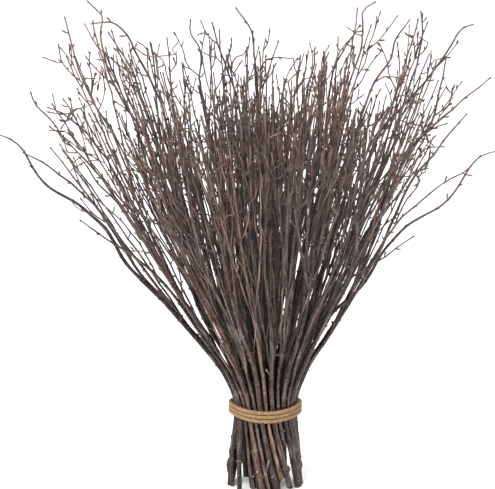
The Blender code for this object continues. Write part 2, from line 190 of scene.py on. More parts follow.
# What grows at a young branch's nodes: shoots, spurs and buds, more of them higher up.
SHOOT_SHARE = 0.24
SPUR_SHARE = 0.2
BUD_SHARE = 0.7
SPARSE_SHOOTS = 0.06
SPARSE_HEIGHT = 400 * MM
SHOOTS_BY_HEIGHT = ((170 * MM, 330 * MM), (0.25, 1.05))
SHOOT_LENGTH = (9 * MM, 52 * MM)
SHOOT_ANGLE = (math.radians(20), math.radians(52))
SHOOT_STEPS = (0.0, 0.3, 0.65, 1.0)
SHOOT_POWER = 1.6
SHOOT_BEND = 0.07
SHOOT_THINNING = (0.6, 0.8)
AWAY_SHARE = 0.12
SHOOT_RADIUS = 0.54 * MM
THICKEST_SHOOT = 0.8 * MM
SHOOT_ORDERS = 3

# Nodes: the joints along a twig, where it swells, turns a little and bears its buds. Close to the tie the
# stems are straighter, and nothing grows under the rope.
NODE_GAP = (7 * MM, 9.0)
NODE_GAP_RANGE = (0.65, 1.35)
FIRST_NODE_RANGE = (0.4, 1.0)
NODE_REACH = 1.5 * MM
NODE_SWELL = (0.08, 0.32)
NODE_TURN = math.radians(142)
KINK_STRAY = 0.7
BUD_STRAY = 0.5
SWAY = 0.72 * MM
SWAY_RANGE = (0.3, 1.0)
LEAST_SWAY = 0.2
SHOOT_SWAY = 0.7 * SWAY
FREE_SWAY = 90 * MM
REST_STEP = 7 * MM
UNEVEN = (0.965, 1.035)
NO_SHOOTS = 18 * MM
NO_KNOBS = 14 * MM
BUD_LENGTH = (2.4 * MM, 4.2 * MM)
BUD_RADIUS = (0.5 * MM, 0.8 * MM)
BUD_LEAN = (0.35, 0.8)
TIP_LENGTH = (2.6 * MM, 4.6 * MM)
TIP_SWELL = (1.15, 1.5)
LEAST_TIP = 0.62 * MM

# Spurs, in millimetres, and what bark thicker than OLD_BARK bears instead: stubs, a few with a pale cut,
# and knobs. Each share includes those before it.
SPUR_LENGTH = (1.5, 6.0)
SPUR_RADII = (0.62, 0.56, 0.66, 0.56, 0.68, 0.6)
SPUR_BUD = 1.15
OLD_BARK = 1.3 * MM
PALE_STUB_SHARE = 0.02
STUB_SHARE = 0.06
KNOB_SHARE = 0.62
STUB_LENGTH = (0.8, 3.0)
STUB_RADIUS = (0.7, 1.15)
KNOB_GIRTH = (0.55, 0.95)
KNOB_BUD = 0.35

# How unevenly round old stems and stubs are, and how their feet are sawn.
STEM_LOBES = 0.05
STUB_LOBES = 0.06
KNOB_LOBES = 0.08
FOOT_SLANT = ((-0.25, 0.25), (-0.1, 0.5))

# Bark tones, from 0 to 1 on the bark's ramp. The inner stems and the legs are the darkest; the inner stems'
# near-black tones are painted shade for the gaps between the stems.
INNER_SHADE_TONES = (0.03, 0.98)
INNER_TONE_STRAY = 0.02
LEG_TONE = 0.05
STEM_TONE_STRAY = 0.07
FORK_TONE_STRAY = 0.1
SHOOT_TONE_STRAY = 0.08

# How many sides the tubes have.
STEM_SIDES = 9
SEEN_SIDES = 8
STUB_SIDES = 7
INNER_SIDES = 6
THIN_SIDES = 5

# The outer stems are thick and thin by turns, and the inner ones that only this script has are thicker
# in the tie: shares of the CAD's radii.
THICK_STEM = (1.12, 1.42)
THIN_STEM = (0.5, 0.8)
INNER_GIRTHS = (1.0, 1.15, 1.3, 1.3, 1.15)

# A tube's section isn't quite round: share, lobes round it, how they turn along it, shift with the tone.
LOBES = ((0.6, 2, 70, 40), (0.4, 3, -110, 90))
TIP_RISE = 0.7

# Each tube starts somewhere on this length of bark, in metres.
BARK_REACH = 3.0

# The unrolled tubes of the texture map, in a square with a little room to spare.
SPARE = 1.06
CAP_RADIUS = 0.47
TIP_HEIGHT = 0.9
LEAST_ROW = 0.05 * MM
STRIP_GAP = 0.4 * MM

# Shoots read from the photograph, each from its tip down to where it leaves its branch, in pixels. The
# first number is the size of its end bud. At 1 it has only the swollen tip that every shoot has.
SEEN_SHOOTS = (
    (1, ((87, 58), (90.2, 62.5), (100.7, 73.7), (116.8, 87.3))),
    (1.7, ((94.5, 76), (95, 91))),
    (1, ((138.9, 42.6), (145.7, 47.4), (147.3, 63), (151, 78))),
    (1.2, ((204.5, 34.2), (201.8, 52.6), (203, 66))),
    (1.1, ((176, 35.3), (183.4, 51.6), (187, 64.2), (195.5, 76))),
    (1, ((246.6, 49.5), (246, 52.6), (234.5, 58), (233.9, 71.6))),
    (1, ((289.2, 58.4), (274.4, 57.4), (265, 61), (262, 70))),
    (1, ((303.4, 55.2), (296.5, 73.7), (289, 80), (287, 92))),
    (1.2, ((296.2, 60), (287.6, 74.7), (286, 92))),
    (1, ((409.4, 28), (408, 46.3), (405.8, 67.3), (401, 84))),
    (1, ((431, 58), (429, 68.4), (426.8, 81))),
    (1.2, ((456.8, 43.7), (443.6, 60), (438, 68))),
    (1.4, ((106, 54), (118, 64.6), (126, 74))),
    (1.2, ((90, 54.5), (89.2, 62), (92, 78), (95, 92))),
    (1.5, ((151.5, 45.5), (153.2, 56), (155, 72))),
    (1, ((172, 55), (158, 56.2), (146, 55.6), (138, 50), (133, 47))),
    (1, ((176, 45), (172, 50.5), (176, 55), (177, 60), (175.5, 72))),
    (1, ((158, 55.5), (164, 62), (166, 72), (168, 88))),
    (1, ((182, 65), (184, 78), (187, 95))),
    (1, ((91.3, 78.5), (88.5, 77.2), (84.2, 80.5), (83, 86))),
    (1.8, ((98.3, 84.8), (102.6, 67.5), (105, 75), (108, 90))),
    (1, ((116.7, 57.7), (120, 68.5), (127.6, 77.2), (132, 86))),
    (1.2, ((120, 54.4), (124.3, 63.1), (129.7, 70.7), (134, 80))),
    (1.3, ((138.4, 62), (136.8, 66.4), (137.3, 71.8), (147, 80.5))),
    (1.4, ((116.7, 102.7), (124.3, 107.6), (131, 116))),
    (1.2, ((358.5, 27.3), (355.7, 31.2), (352.4, 36.2), (353.5, 50), (352, 70))),
    (1, ((350.1, 29.5), (356, 34), (362.4, 37.3))),
    (1, ((352.4, 36.2), (342.3, 48), (335, 64), (332.4, 76))),
    (1.2, ((368.5, 49), (364.6, 63.6), (361.3, 77))),
    (1.4, ((380.3, 45.7), (387, 62), (389, 74), (389.5, 86))),
    (1.2, ((380.3, 52.4), (373.6, 60.2), (366.9, 70.3), (361.3, 81.4), (358, 94))),
    (1.6, ((417.1, 36.8), (417.7, 50), (416, 62))),
    (1.8, ((412.6, 37.9), (414.3, 45.7), (414, 58))),
    (1, ((422.1, 39), (428.3, 42.9), (422.7, 52.4), (417, 61))),
    (1, ((445.6, 60.2), (441.7, 81.4), (437, 101), (432.7, 119.4))),
    (1, ((453.4, 88.1), (448.3, 106), (441, 114), (432.7, 120.5))),
    (1, ((402.6, 79.2), (391.4, 76.4), (383.6, 77), (377, 82))),
    (1.2, ((421.6, 101.5), (417.1, 104.9), (412, 99), (405.9, 95.9), (397, 96.5), (389.2, 97))),
    (1, ((422.7, 117.1), (422.1, 125), (421, 134))),
    (1, ((409.5, 128), (414.9, 124), (420.4, 126), (423.8, 132.5), (420.4, 137.4), (413, 139), (407, 143))),
    (1, ((431.6, 143.9), (424.9, 138.4), (419, 136))),
    (1, ((417.1, 171.8), (426, 167.4), (429.4, 157.3), (430, 148), (424, 143))),
    (1.2, ((417.1, 184), (419.3, 178.5), (414.9, 172.9), (408, 166))),
    (1.3, ((80, 100), (84, 110), (88, 124))),
)
# Thin forks that the photograph shows in front of the stems above the tie, from where they leave their
# stem upwards: radius at the start in millimetres, bark tone, pixels.
SEEN_FORKS = (
    (1.15, 0.8, ((249.6, 377), (245.6, 363.5), (239.5, 340), (234, 326), (226, 303), (216, 276))),
    (1.3, 0.24, ((284.6, 402), (285.6, 380.7), (286.1, 360), (284, 336), (286, 312), (292, 285))),
    (1.2, 0.62, ((290.2, 384), (295.3, 366.5), (305.4, 338), (315, 315), (329, 288))),
    (0.95, 0.5, ((286, 362), (291.2, 345), (295.5, 332), (303, 311), (310, 290))),
    (1.0, 0.3, ((269.9, 376), (272.5, 362), (276.5, 346), (280, 328), (288, 300))),
    (0.9, 0.66, ((251, 366), (253.5, 352), (255, 338), (256, 318), (252, 292))),
    (1.1, 0.78, ((235, 372), (228, 356), (217, 334), (204, 306), (190, 280))),
    (0.9, 0.2, ((262, 352), (260, 338), (254, 316), (247, 290))),
)
# Stubs of shoots that were cut off, each from its stem to its end, in pixels, how far its end stands out
# towards the viewer, in millimetres, and whether its cut is still pale.
SEEN_STUBS = (
    ((269.9, 375.5), (265.8, 368.5), 1.5, False),
    ((251.1, 364), (249.4, 358.6), 1.5, False),
    ((265.9, 471), (268.9, 459.8), 2.0, False),
    ((257.2, 471.5), (257.2, 470.5), 2.6, True),
    ((254, 477), (253.6, 475.4), 1.6, False),
    ((272.4, 477), (272.4, 476), 1.6, False),
    ((238.5, 272), (238, 266), 2.0, True),
)
# Knobs on the outside of the outer legs, in pixels, with their size against the leg's radius.
SEEN_KNOBS = ((229, 451, 0.6), (228, 464, 0.72), (301, 451, 0.6), (302.5, 464, 0.72))
# Pale rings round stems, in pixels.
SEEN_RINGS = ((262.3, 389.8), (238.5, 391), (240.5, 340))
# Shoots at the left edge, which the right edge shows turned over and a little lower.
EDGE_SHOOTS = (
    (1, ((51.9, 130.4), (60, 130.8), (67.4, 132.3), (73, 138), (79, 150))),
    (2.2, ((73, 135), (76, 143), (82, 154))),
    (1, ((64.5, 139.6), (65.3, 146), (67.4, 151.6), (73.7, 155))),
    (1, ((49.5, 108), (59, 111.5), (79, 126.3))),
    (1.5, ((71, 101), (71.5, 108), (70, 114), (64, 126))),
    (1, ((89.6, 104.9), (81, 108), (73.4, 109.2), (70, 114), (69.5, 122))),
)
EDGE_SUM = 493.5
EDGE_DROP = 16.3
SEEN_RADIUS = 0.62 * MM
SEEN_GIRTH = (1.0, 1.25)
SEEN_DRIFT = 0.1
SEEN_SHOOT_SWAY = 0.3 * SWAY
SEEN_FORK_SWAY = 0.5 * SWAY
FORK_TIP = 0.75 * MM
# How a pixel's branch is found: a pixel nearer outweighs this much depth. Reaches are in pixels.
SEEN_DEPTH = 25 * MM
SEEN_REACH = 9.0
DEPTH_COST = 4 * MM
FRONT_REACH = 4.0
FRONT_LIFT = 2.2 * MM
OUT_OF_REACH = 1000.0

# The camera, which stands as the photograph's did.
PHOTO_SIZE = (495, 489)
MM_PER_PIXEL = 0.887
SENSOR = 36.0
CAMERA_ELEVATION = math.radians(9.5)
CAMERA_DISTANCE = 2.2
CAMERA_TARGET = Vector((-0.016, 0.0, 0.218))
TO_CAMERA = Vector((0, -math.cos(CAMERA_ELEVATION), math.sin(CAMERA_ELEVATION)))
CAMERA_UP = Vector((0, math.sin(CAMERA_ELEVATION), math.cos(CAMERA_ELEVATION)))
CAMERA_PLACE = CAMERA_TARGET + TO_CAMERA * CAMERA_DISTANCE
FOCAL = CAMERA_DISTANCE / (MM_PER_PIXEL * MM)


def turned(point, angle):
    """The point turned about the bundle's axis."""
    cosine = math.cos(angle)
    sine = math.sin(angle)
    return Vector((point.x * cosine - point.y * sine, point.x * sine + point.y * cosine, point.z))


def fan_spread(height):
    """How many times further out the stems stand at this height than in the tie."""
    if height < TIE_HEIGHT:
        below = max(0.0, TIE_HEIGHT - TIE_BAND - height) / (TIE_HEIGHT - TIE_BAND)
        return 1.0 + FOOT_SPREAD * below**FOOT_CURVE
    rise = math.hypot(max(0.0, height - TIE_HEIGHT - TIE_BAND), FAN_BEND) - FAN_BEND
    return 1.0 + FAN_SLOPE * FAN_EASE * (1.0 - math.exp(-rise / FAN_EASE)) / BUNDLE_RADIUS


def fan_turn(height):
    """How far the whole bundle is screwed round at this height, against the tie."""
    if height < TIE_HEIGHT:
        return FOOT_TURN * (TIE_HEIGHT - height) / TIE_HEIGHT
    return -FAN_TURN * (1.0 - math.exp((TIE_HEIGHT - height) / FAN_TURN_RISE))


def carried(spot, height, lean=1.0):
    """Where the stem that stands at this spot in the tie is at the given height."""
    spread = 1.0 + (fan_spread(height) - 1.0) * lean
    return turned(Vector((spot.x * spread, spot.y * spread, height)), fan_turn(height))


def stem_spots():
    """Every stem's spot in the tie, ring by ring from the middle."""
    spots = []
    for ring, count in enumerate(RING_STEMS):
        solid_places = {round(step * count / SOLID_STEMS[ring]) for step in range(SOLID_STEMS[ring])}
        for place in range(count):
            draw = random.Random(RING_SEED * ring + place)
            radius = draw.uniform(*STEM_RADIUS)
            distance = ring * RING_STEP
            if ring == OUTER_RING:
                distance = BUNDLE_RADIUS - CORNER_REACH * radius
            angle = 2 * math.pi * (place + 0.5 * (ring % 2)) / count
            spot = Vector((distance * math.cos(angle), distance * math.sin(angle), TIE_HEIGHT))
            spots.append({"spot": spot, "ring": ring, "place": place, "radius": radius,
                          "solid": place in solid_places, "draw": draw})
    return spots


def standout_routes():
    """The twigs that stand out of the fan: for each, its visible places and those of its fork."""
    routes = []
    for number, (depth, places) in enumerate(SIDE_TWIGS):
        fork = SIDE_FORKS.get(number, ())
        routes.append((depth, places, fork))
        other_side = [tuple((MIRROR_SHIFT - x, z - MIRROR_DROP) for x, z in run) for run in (places, fork)]
        routes.append((depth, *other_side))
    for number, (depth, places) in enumerate(TOP_TWIGS):
        routes.append((depth, places, TOP_FORKS.get(number, ())))
    return [
        tuple([Vector((x * MM, depth * MM, z * MM)) for x, z in run] for run in (places, fork))
        for depth, places, fork in routes
    ]


def give_out(routes, spots):
    """Gives each standout route the solid spot in the tie that its stem would come from."""
    homes = []
    for route in routes:
        start = route[0][0]
        homes.append(turned(start, -fan_turn(start.z)) / fan_spread(start.z))

    def way(number, spot):
        return (spots[spot]["spot"] - homes[number]).xy.length

    free = [number for number, spot in enumerate(spots) if spot["solid"] and spot["ring"] > 0]
    given = []
    for number in range(len(routes)):
        nearest = min(free, key=lambda spot: way(number, spot))
        free.remove(nearest)
        given.append(nearest)
    changed = True
    while changed:
        changed = False
        for one, other in itertools.combinations(range(len(routes)), 2):
            kept = way(one, given[one]) + way(other, given[other])
            if way(one, given[other]) + way(other, given[one]) < kept - LEAST_GAIN:
                given[one], given[other] = given[other], given[one]
                changed = True
    return dict(zip(given, routes))


def draw_within(stem, most):
    """A random shift, up to this much either way."""
    return stem["draw"].uniform(-most, most)


def foot_route(stem, attempt):
    """The stem's places from its cut end up to the top of the tie's straight band. The outer stems
    stray from their neighbours. One on either side at the front is a second leg, and the others that
    would stand in the gaps beside it are cut short above them."""
    foot = carried(stem["spot"], 0.0)
    outer = stem["ring"] == OUTER_RING
    second = outer and stem["place"] in SECOND_LEGS
    shift = Vector((0.0, 0.0, 0.0))
    if outer:
        loose = 1.0 - attempt / TRIES
        outward = Vector((foot.x, foot.y, 0.0)).normalized()
        along = Vector((-outward.y, outward.x, 0.0))
        shift = outward * stem["draw"].uniform(0, FOOT_STRAY) * abs(outward.y) * loose
        shift += along * draw_within(stem, FOOT_SHIFT) * loose
        if second:
            shift.x = SECOND_LEGS[stem["place"]]
        foot += shift
    lift = 0.0
    if FOOT_GAP[0] < abs(foot.x) < FOOT_GAP[1] and not second:
        lift = stem["draw"].uniform(*SHORT_CUT)
    elif LOW_GAP[0] < abs(foot.x) < LOW_GAP[1] and not second:
        lift = stem["draw"].uniform(*LOW_CUT)
    elif stem["ring"] > 0 and stem["draw"].random() < LIFTED_SHARE:
        lift = stem["draw"].uniform(*FOOT_LIFT)
    low = TIE_HEIGHT - TIE_BAND
    route = []
    for height in (lift, 0.5 * (lift + low), low, TIE_HEIGHT + TIE_BAND):
        route.append(carried(stem["spot"], height) + shift * max(0.0, 1.0 - height / low))
    return route


def standout_stem(stem, places, attempt):
    """A standout twig's whole route. It leaves the tie with the fan and bears away to its own places."""
    foot = foot_route(stem, attempt)
    base = foot[-1].z
    bearing = places[0] - carried(stem["spot"], places[0].z)
    loose = NUDGE * (1 + attempt / NUDGE_ATTEMPTS)
    between = []
    for step in LOW_STEPS if places[0].z < LOW_STANDOUT else HIGH_STEPS:
        place = carried(stem["spot"], base + (places[0].z - base) * step) + bearing * step**BEARING_CURVE
        place += Vector((draw_within(stem, loose * step), draw_within(stem, loose * step), 0.0))
        between.append(place)
    return foot + between + places


def fan_stem(stem, attempt):
    """A common twig's whole route: with the fan, wandering a little more the higher it goes."""
    draw = stem["draw"]
    share = stem["ring"] / OUTER_RING
    rise = (INNER_RISE + (OUTER_RISE - INNER_RISE) * share) * draw.uniform(*RISE_RANGE)
    lean = draw.uniform(*LEAN_RANGE) * (1.0 + INNER_LEAN * (1.0 - share))
    route = foot_route(stem, attempt)
    base = TIE_HEIGHT + TIE_BAND
    for step in FAN_STEPS:
        place = carried(stem["spot"], base + rise * step, lean)
        loose = (WANDER + NUDGE * attempt / NUDGE_ATTEMPTS) * step
        place += Vector((draw_within(stem, loose), draw_within(stem, loose), 0.0))
        route.append(place)
    return route


def tapered(route, thick, thin):
    """The radius at each place of a route, thinning slowly first and faster towards the tip."""
    lengths = [0.0]
    for before, after in zip(route, route[1:]):
        lengths.append(lengths[-1] + (after - before).length)
    return [thin + (thick - thin) * (1.0 - length / lengths[-1]) ** TAPER for length in lengths]


def stem_radii(stem, route, attempt):
    """A stem's radii. The outer stems are thicker at the foot, and the legs at the sides the most."""
    radii = tapered(route, stem["radius"], TIP_RADIUS)
    if stem["ring"] == OUTER_RING:
        flares = LEG_FLARE if abs(route[0].x) > FOOT_GAP[1] else FOOT_FLARE
        flare = stem["draw"].uniform(*flares) * (1.0 - attempt / TRIES)
        radii[0] *= 1.0 + flare
        radii[1] *= 1.0 + 0.5 * flare
    return radii


class Room:
    """The space already taken, as the straight runs of every stem and fork with their radii."""

    def __init__(self):
        self.starts = []
        self.ends = []
        self.radii = []
        self.owners = []

    def take(self, owner, route, radii):
        for before, after, radius in zip(route, route[1:], radii):
            self.starts.append(tuple(before))
            self.ends.append(tuple(after))
            self.radii.append(CORNER_REACH * radius)
            self.owners.append(owner)

    def is_free(self, owner, route, radii):
        """Whether a route keeps clear of everything that another twig has taken."""
        others = np.array(self.owners) != owner
        if not others.any():
            return True
        starts = np.array(self.starts)[others]
        runs = np.array(self.ends)[others] - starts
        squares = np.einsum("ij,ij->i", runs, runs)
        reach = np.array(self.radii)[others] + PROBE_GAP
        for before, after, radius in zip(route, route[1:], radii):
            steps = max(2, int((after - before).length / PROBE_STEP))
            for step in range(steps + 1):
                probe = np.array(before.lerp(after, step / steps))
                along = np.clip(np.einsum("ij,ij->i", probe - starts, runs) / squares, 0.0, 1.0)
                gaps = np.linalg.norm(starts + runs * along[:, None] - probe, axis=1)
                if (gaps < reach + CORNER_REACH * radius).any():
                    return False
        return True


def place_on(route, radii, share, first=FAN_START):
    """The place, direction and radius at a share of a route's height above its first place."""
    low = route[first].z
    height = low + share * (max(place.z for place in route) - low)
    for number in range(first, len(route) - 1):
        before = route[number]
        after = route[number + 1]
        if before.z <= height <= after.z:
            t = (height - before.z) / (after.z - before.z)
            radius = radii[number] + (radii[number + 1] - radii[number]) * t
            return before.lerp(after, t), (after - before).normalized(), radius
    return None


def fan_fork(stem, route, radii, level):
    """A fork's route: it leaves the stem at a small angle and then runs on beside it."""
    draw = stem["draw"]
    start, ahead, radius = place_on(route, radii, draw.uniform(*level))
    length = (route[-1] - start).length * draw.uniform(*FORK_LENGTH)
    side = Vector((draw.uniform(-1, 1), draw.uniform(-1, 1), 0.0))
    outward = Vector((start.x, start.y, 0.0)).normalized()
    side -= outward * FORK_INWARD * max(0.0, side.dot(outward))
    side = (side - ahead * side.dot(ahead)).normalized()
    spread = draw.uniform(*FORK_SPREAD)
    fork = [start]
    for step in FORK_STEPS:
        fork.append(start + ahead * length * step + side * spread * step**FORK_CURVE)
    return fork, FORK_THINNING * radius


def add_main_forks(number, stem, runs, room):
    """The forks of a twig, where they find room."""
    route, radii = runs[0]
    for level, share in zip(FORK_LEVELS, FORK_SHARE):
        if stem["draw"].random() > share:
            continue
        for _ in range(TRIES):
            fork, thick = fan_fork(stem, route, radii, level)
            fork_radii = tapered(fork, thick, TIP_RADIUS)
            if room.is_free(number, fork, fork_radii):
                room.take(number, fork, fork_radii)
                runs.append((fork, fork_radii))
                break


def plan_bundle(spots, owners, room):
    """Every twig: its stem's route and radii, and those of its main forks. The solid twigs are planned
    first, as in the CAD, and the inner ones then take what room is left."""
    twigs = {}
    common = [number for number, spot in enumerate(spots) if spot["solid"] and number not in owners]
    inner = [number for number, spot in enumerate(spots) if not spot["solid"]]

    def plant(number):
        stem = spots[number]
        for attempt in range(TRIES):
            if number in owners:
                route = standout_stem(stem, owners[number][0], attempt)
            else:
                route = fan_stem(stem, attempt)
            radii = stem_radii(stem, route, attempt)
            if room.is_free(number, route, radii):
                break
        room.take(number, route, radii)
        twigs[number] = [(route, radii)]

    for number in [*owners, *common]:
        plant(number)
    for number, (_, fork) in owners.items():
        if fork:
            route, radii = twigs[number][0]
            nearest = min(range(len(route)), key=lambda place: (route[place] - fork[0]).length)
            fork_radii = tapered(fork, FORK_THINNING * radii[nearest], TIP_RADIUS)
            room.take(number, fork, fork_radii)
            twigs[number].append((fork, fork_radii))
    for number in sorted(twigs):
        add_main_forks(number, spots[number], twigs[number], room)
    for number in inner:
        plant(number)
    for number in inner:
        add_main_forks(number, spots[number], twigs[number], room)
    return twigs


def unit(vectors):
    """The vectors at length 1."""
    return vectors / np.linalg.norm(vectors, axis=-1, keepdims=True)


def lengths_along(line):
    """How far along a line each of its points is."""
    return np.concatenate([[0.0], np.cumsum(np.linalg.norm(np.diff(line, axis=0), axis=1))])


def fine_line(route, step=FINE_STEP):
    """A smooth line through a route's places: its points, and how far along each is. The third result
    is how far along the route's own places are."""
    places = np.array([tuple(place) for place in route])
    knots = lengths_along(places)
    slopes = np.gradient(places, knots, axis=0)
    along = np.linspace(0.0, knots[-1], max(3, int(knots[-1] / step)))
    span = np.clip(np.searchsorted(knots, along, side="right") - 1, 0, len(knots) - 2)
    width = (knots[span + 1] - knots[span])[:, None]
    t = (along - knots[span])[:, None] / width
    line = (
        (2 * t**3 - 3 * t**2 + 1) * places[span] + (t**3 - 2 * t**2 + t) * width * slopes[span]
        + (3 * t**2 - 2 * t**3) * places[span + 1] + (t**3 - t**2) * width * slopes[span + 1]
    )
    return line, along, knots


def read_at(distances, along, values):
    """The values at these distances along a line."""
    if values.ndim == 1:
        return np.interp(distances, along, values)
    return np.stack([np.interp(distances, along, column) for column in values.T], axis=-1)


class Branch:
    """One stem, fork or shoot: its fine line with kinks and swellings at its nodes."""

    def __init__(self, route, radii, look, tone, sway=SWAY):
        line, along, knots = fine_line(route)
        girths = np.interp(along, knots, radii)
        self.tone = tone
        self.length = along[-1]
        self.nodes = self.node_places(along, girths, look)
        flat = np.linalg.svd(line - line.mean(axis=0), full_matrices=False)[2]
        shifts = [np.zeros(3)]
        heading = look.uniform(0, 2 * math.pi)
        for node in [*self.nodes, self.length]:
            heading += NODE_TURN + stray(look, KINK_STRAY)
            height = np.interp(node, along, line[:, 2])
            free = min(1.0, max(LEAST_SWAY, abs(height - TIE_HEIGHT) / FREE_SWAY))
            shifts.append(look.uniform(*SWAY_RANGE) * sway * free
                          * (flat[1] * math.cos(heading) + flat[2] * math.sin(heading)))
        marks = self.sample_places()
        stops = np.array([0.0, *self.nodes, self.length])
        self.along = marks
        self.line = read_at(marks, along, line) + read_at(marks, stops, np.array(shifts))
        self.radii = np.interp(marks, along, girths)
        self.scars = np.zeros(len(marks))
        for node in self.nodes:
            swell = look.uniform(*NODE_SWELL)
            at = int(np.argmin(np.abs(marks - node)))
            self.radii[at] *= 1.0 + swell
            self.scars[at] = look.random()
        self.radii *= np.array([look.uniform(*UNEVEN) for _ in marks])

    def node_places(self, along, girths, look):
        """How far along the nodes are: further apart where the branch is thicker."""
        nodes = []
        at = look.uniform(*FIRST_NODE_RANGE) * (NODE_GAP[0] + NODE_GAP[1] * girths[0])
        while at < self.length - 3 * NODE_REACH:
            nodes.append(at)
            gap = NODE_GAP[0] + NODE_GAP[1] * np.interp(at, along, girths)
            at += look.uniform(*NODE_GAP_RANGE) * gap
        return nodes

    def sample_places(self):
        """Distances along the line: around each node, and evenly between."""
        marks = {0.0, self.length}
        for node in self.nodes:
            marks.update((node - NODE_REACH, node, node + NODE_REACH))
        marks = sorted(marks)
        filled = [0.0]
        for before, after in zip(marks, marks[1:]):
            count = max(1, math.ceil((after - before) / REST_STEP))
            filled.extend(before + (after - before) * part / count for part in range(1, count + 1))
        return np.array(filled)

    def at(self, distance):
        """The place, direction and radius at a distance along the branch."""
        place = read_at(distance, self.along, self.line)
        step = 2 * NODE_REACH
        ahead = read_at(min(distance + step, self.length), self.along, self.line)
        behind = read_at(max(distance - step, 0.0), self.along, self.line)
        return place, unit(ahead - behind), np.interp(distance, self.along, self.radii)


def strip_corners(rows, width, heights, sides, cut_end):
    """The UV places of one unrolled tube's face corners, in the order of its faces."""
    edge = width * np.arange(sides + 1) / sides
    low, high = edge[:-1], edge[1:]
    body = rows[1:-1]
    top = heights[1:-1]
    quads = np.empty((len(body), sides, 4, 2))
    for corner, (side, raised) in enumerate(((low, 0), (high, 0), (high, 1), (low, 1))):
        quads[:, :, corner, 0] = body[:, :1] + side
        quads[:, :, corner, 1] = body[:, 1:] + raised * top[:, None]
    angles = 2 * math.pi * np.arange(sides) / sides
    disc = CAP_RADIUS * np.stack([np.cos(angles), np.sin(angles)], axis=-1)
    start = rows[0] + (disc + 0.5) * heights[0]
    if cut_end:
        end = rows[-1] + (disc + 0.5) * heights[-1]
    else:
        end = np.empty((sides, 3, 2))
        tip = (0.5 * (low + high), TIP_HEIGHT)
        for corner, (side, raised) in enumerate(((low, 0.0), (high, 0.0), tip)):
            end[:, corner, 0] = rows[-1, 0] + side
            end[:, corner, 1] = rows[-1, 1] + raised * heights[-1]
    return np.concatenate([quads.reshape(-1, 2), start, end.reshape(-1, 2)])


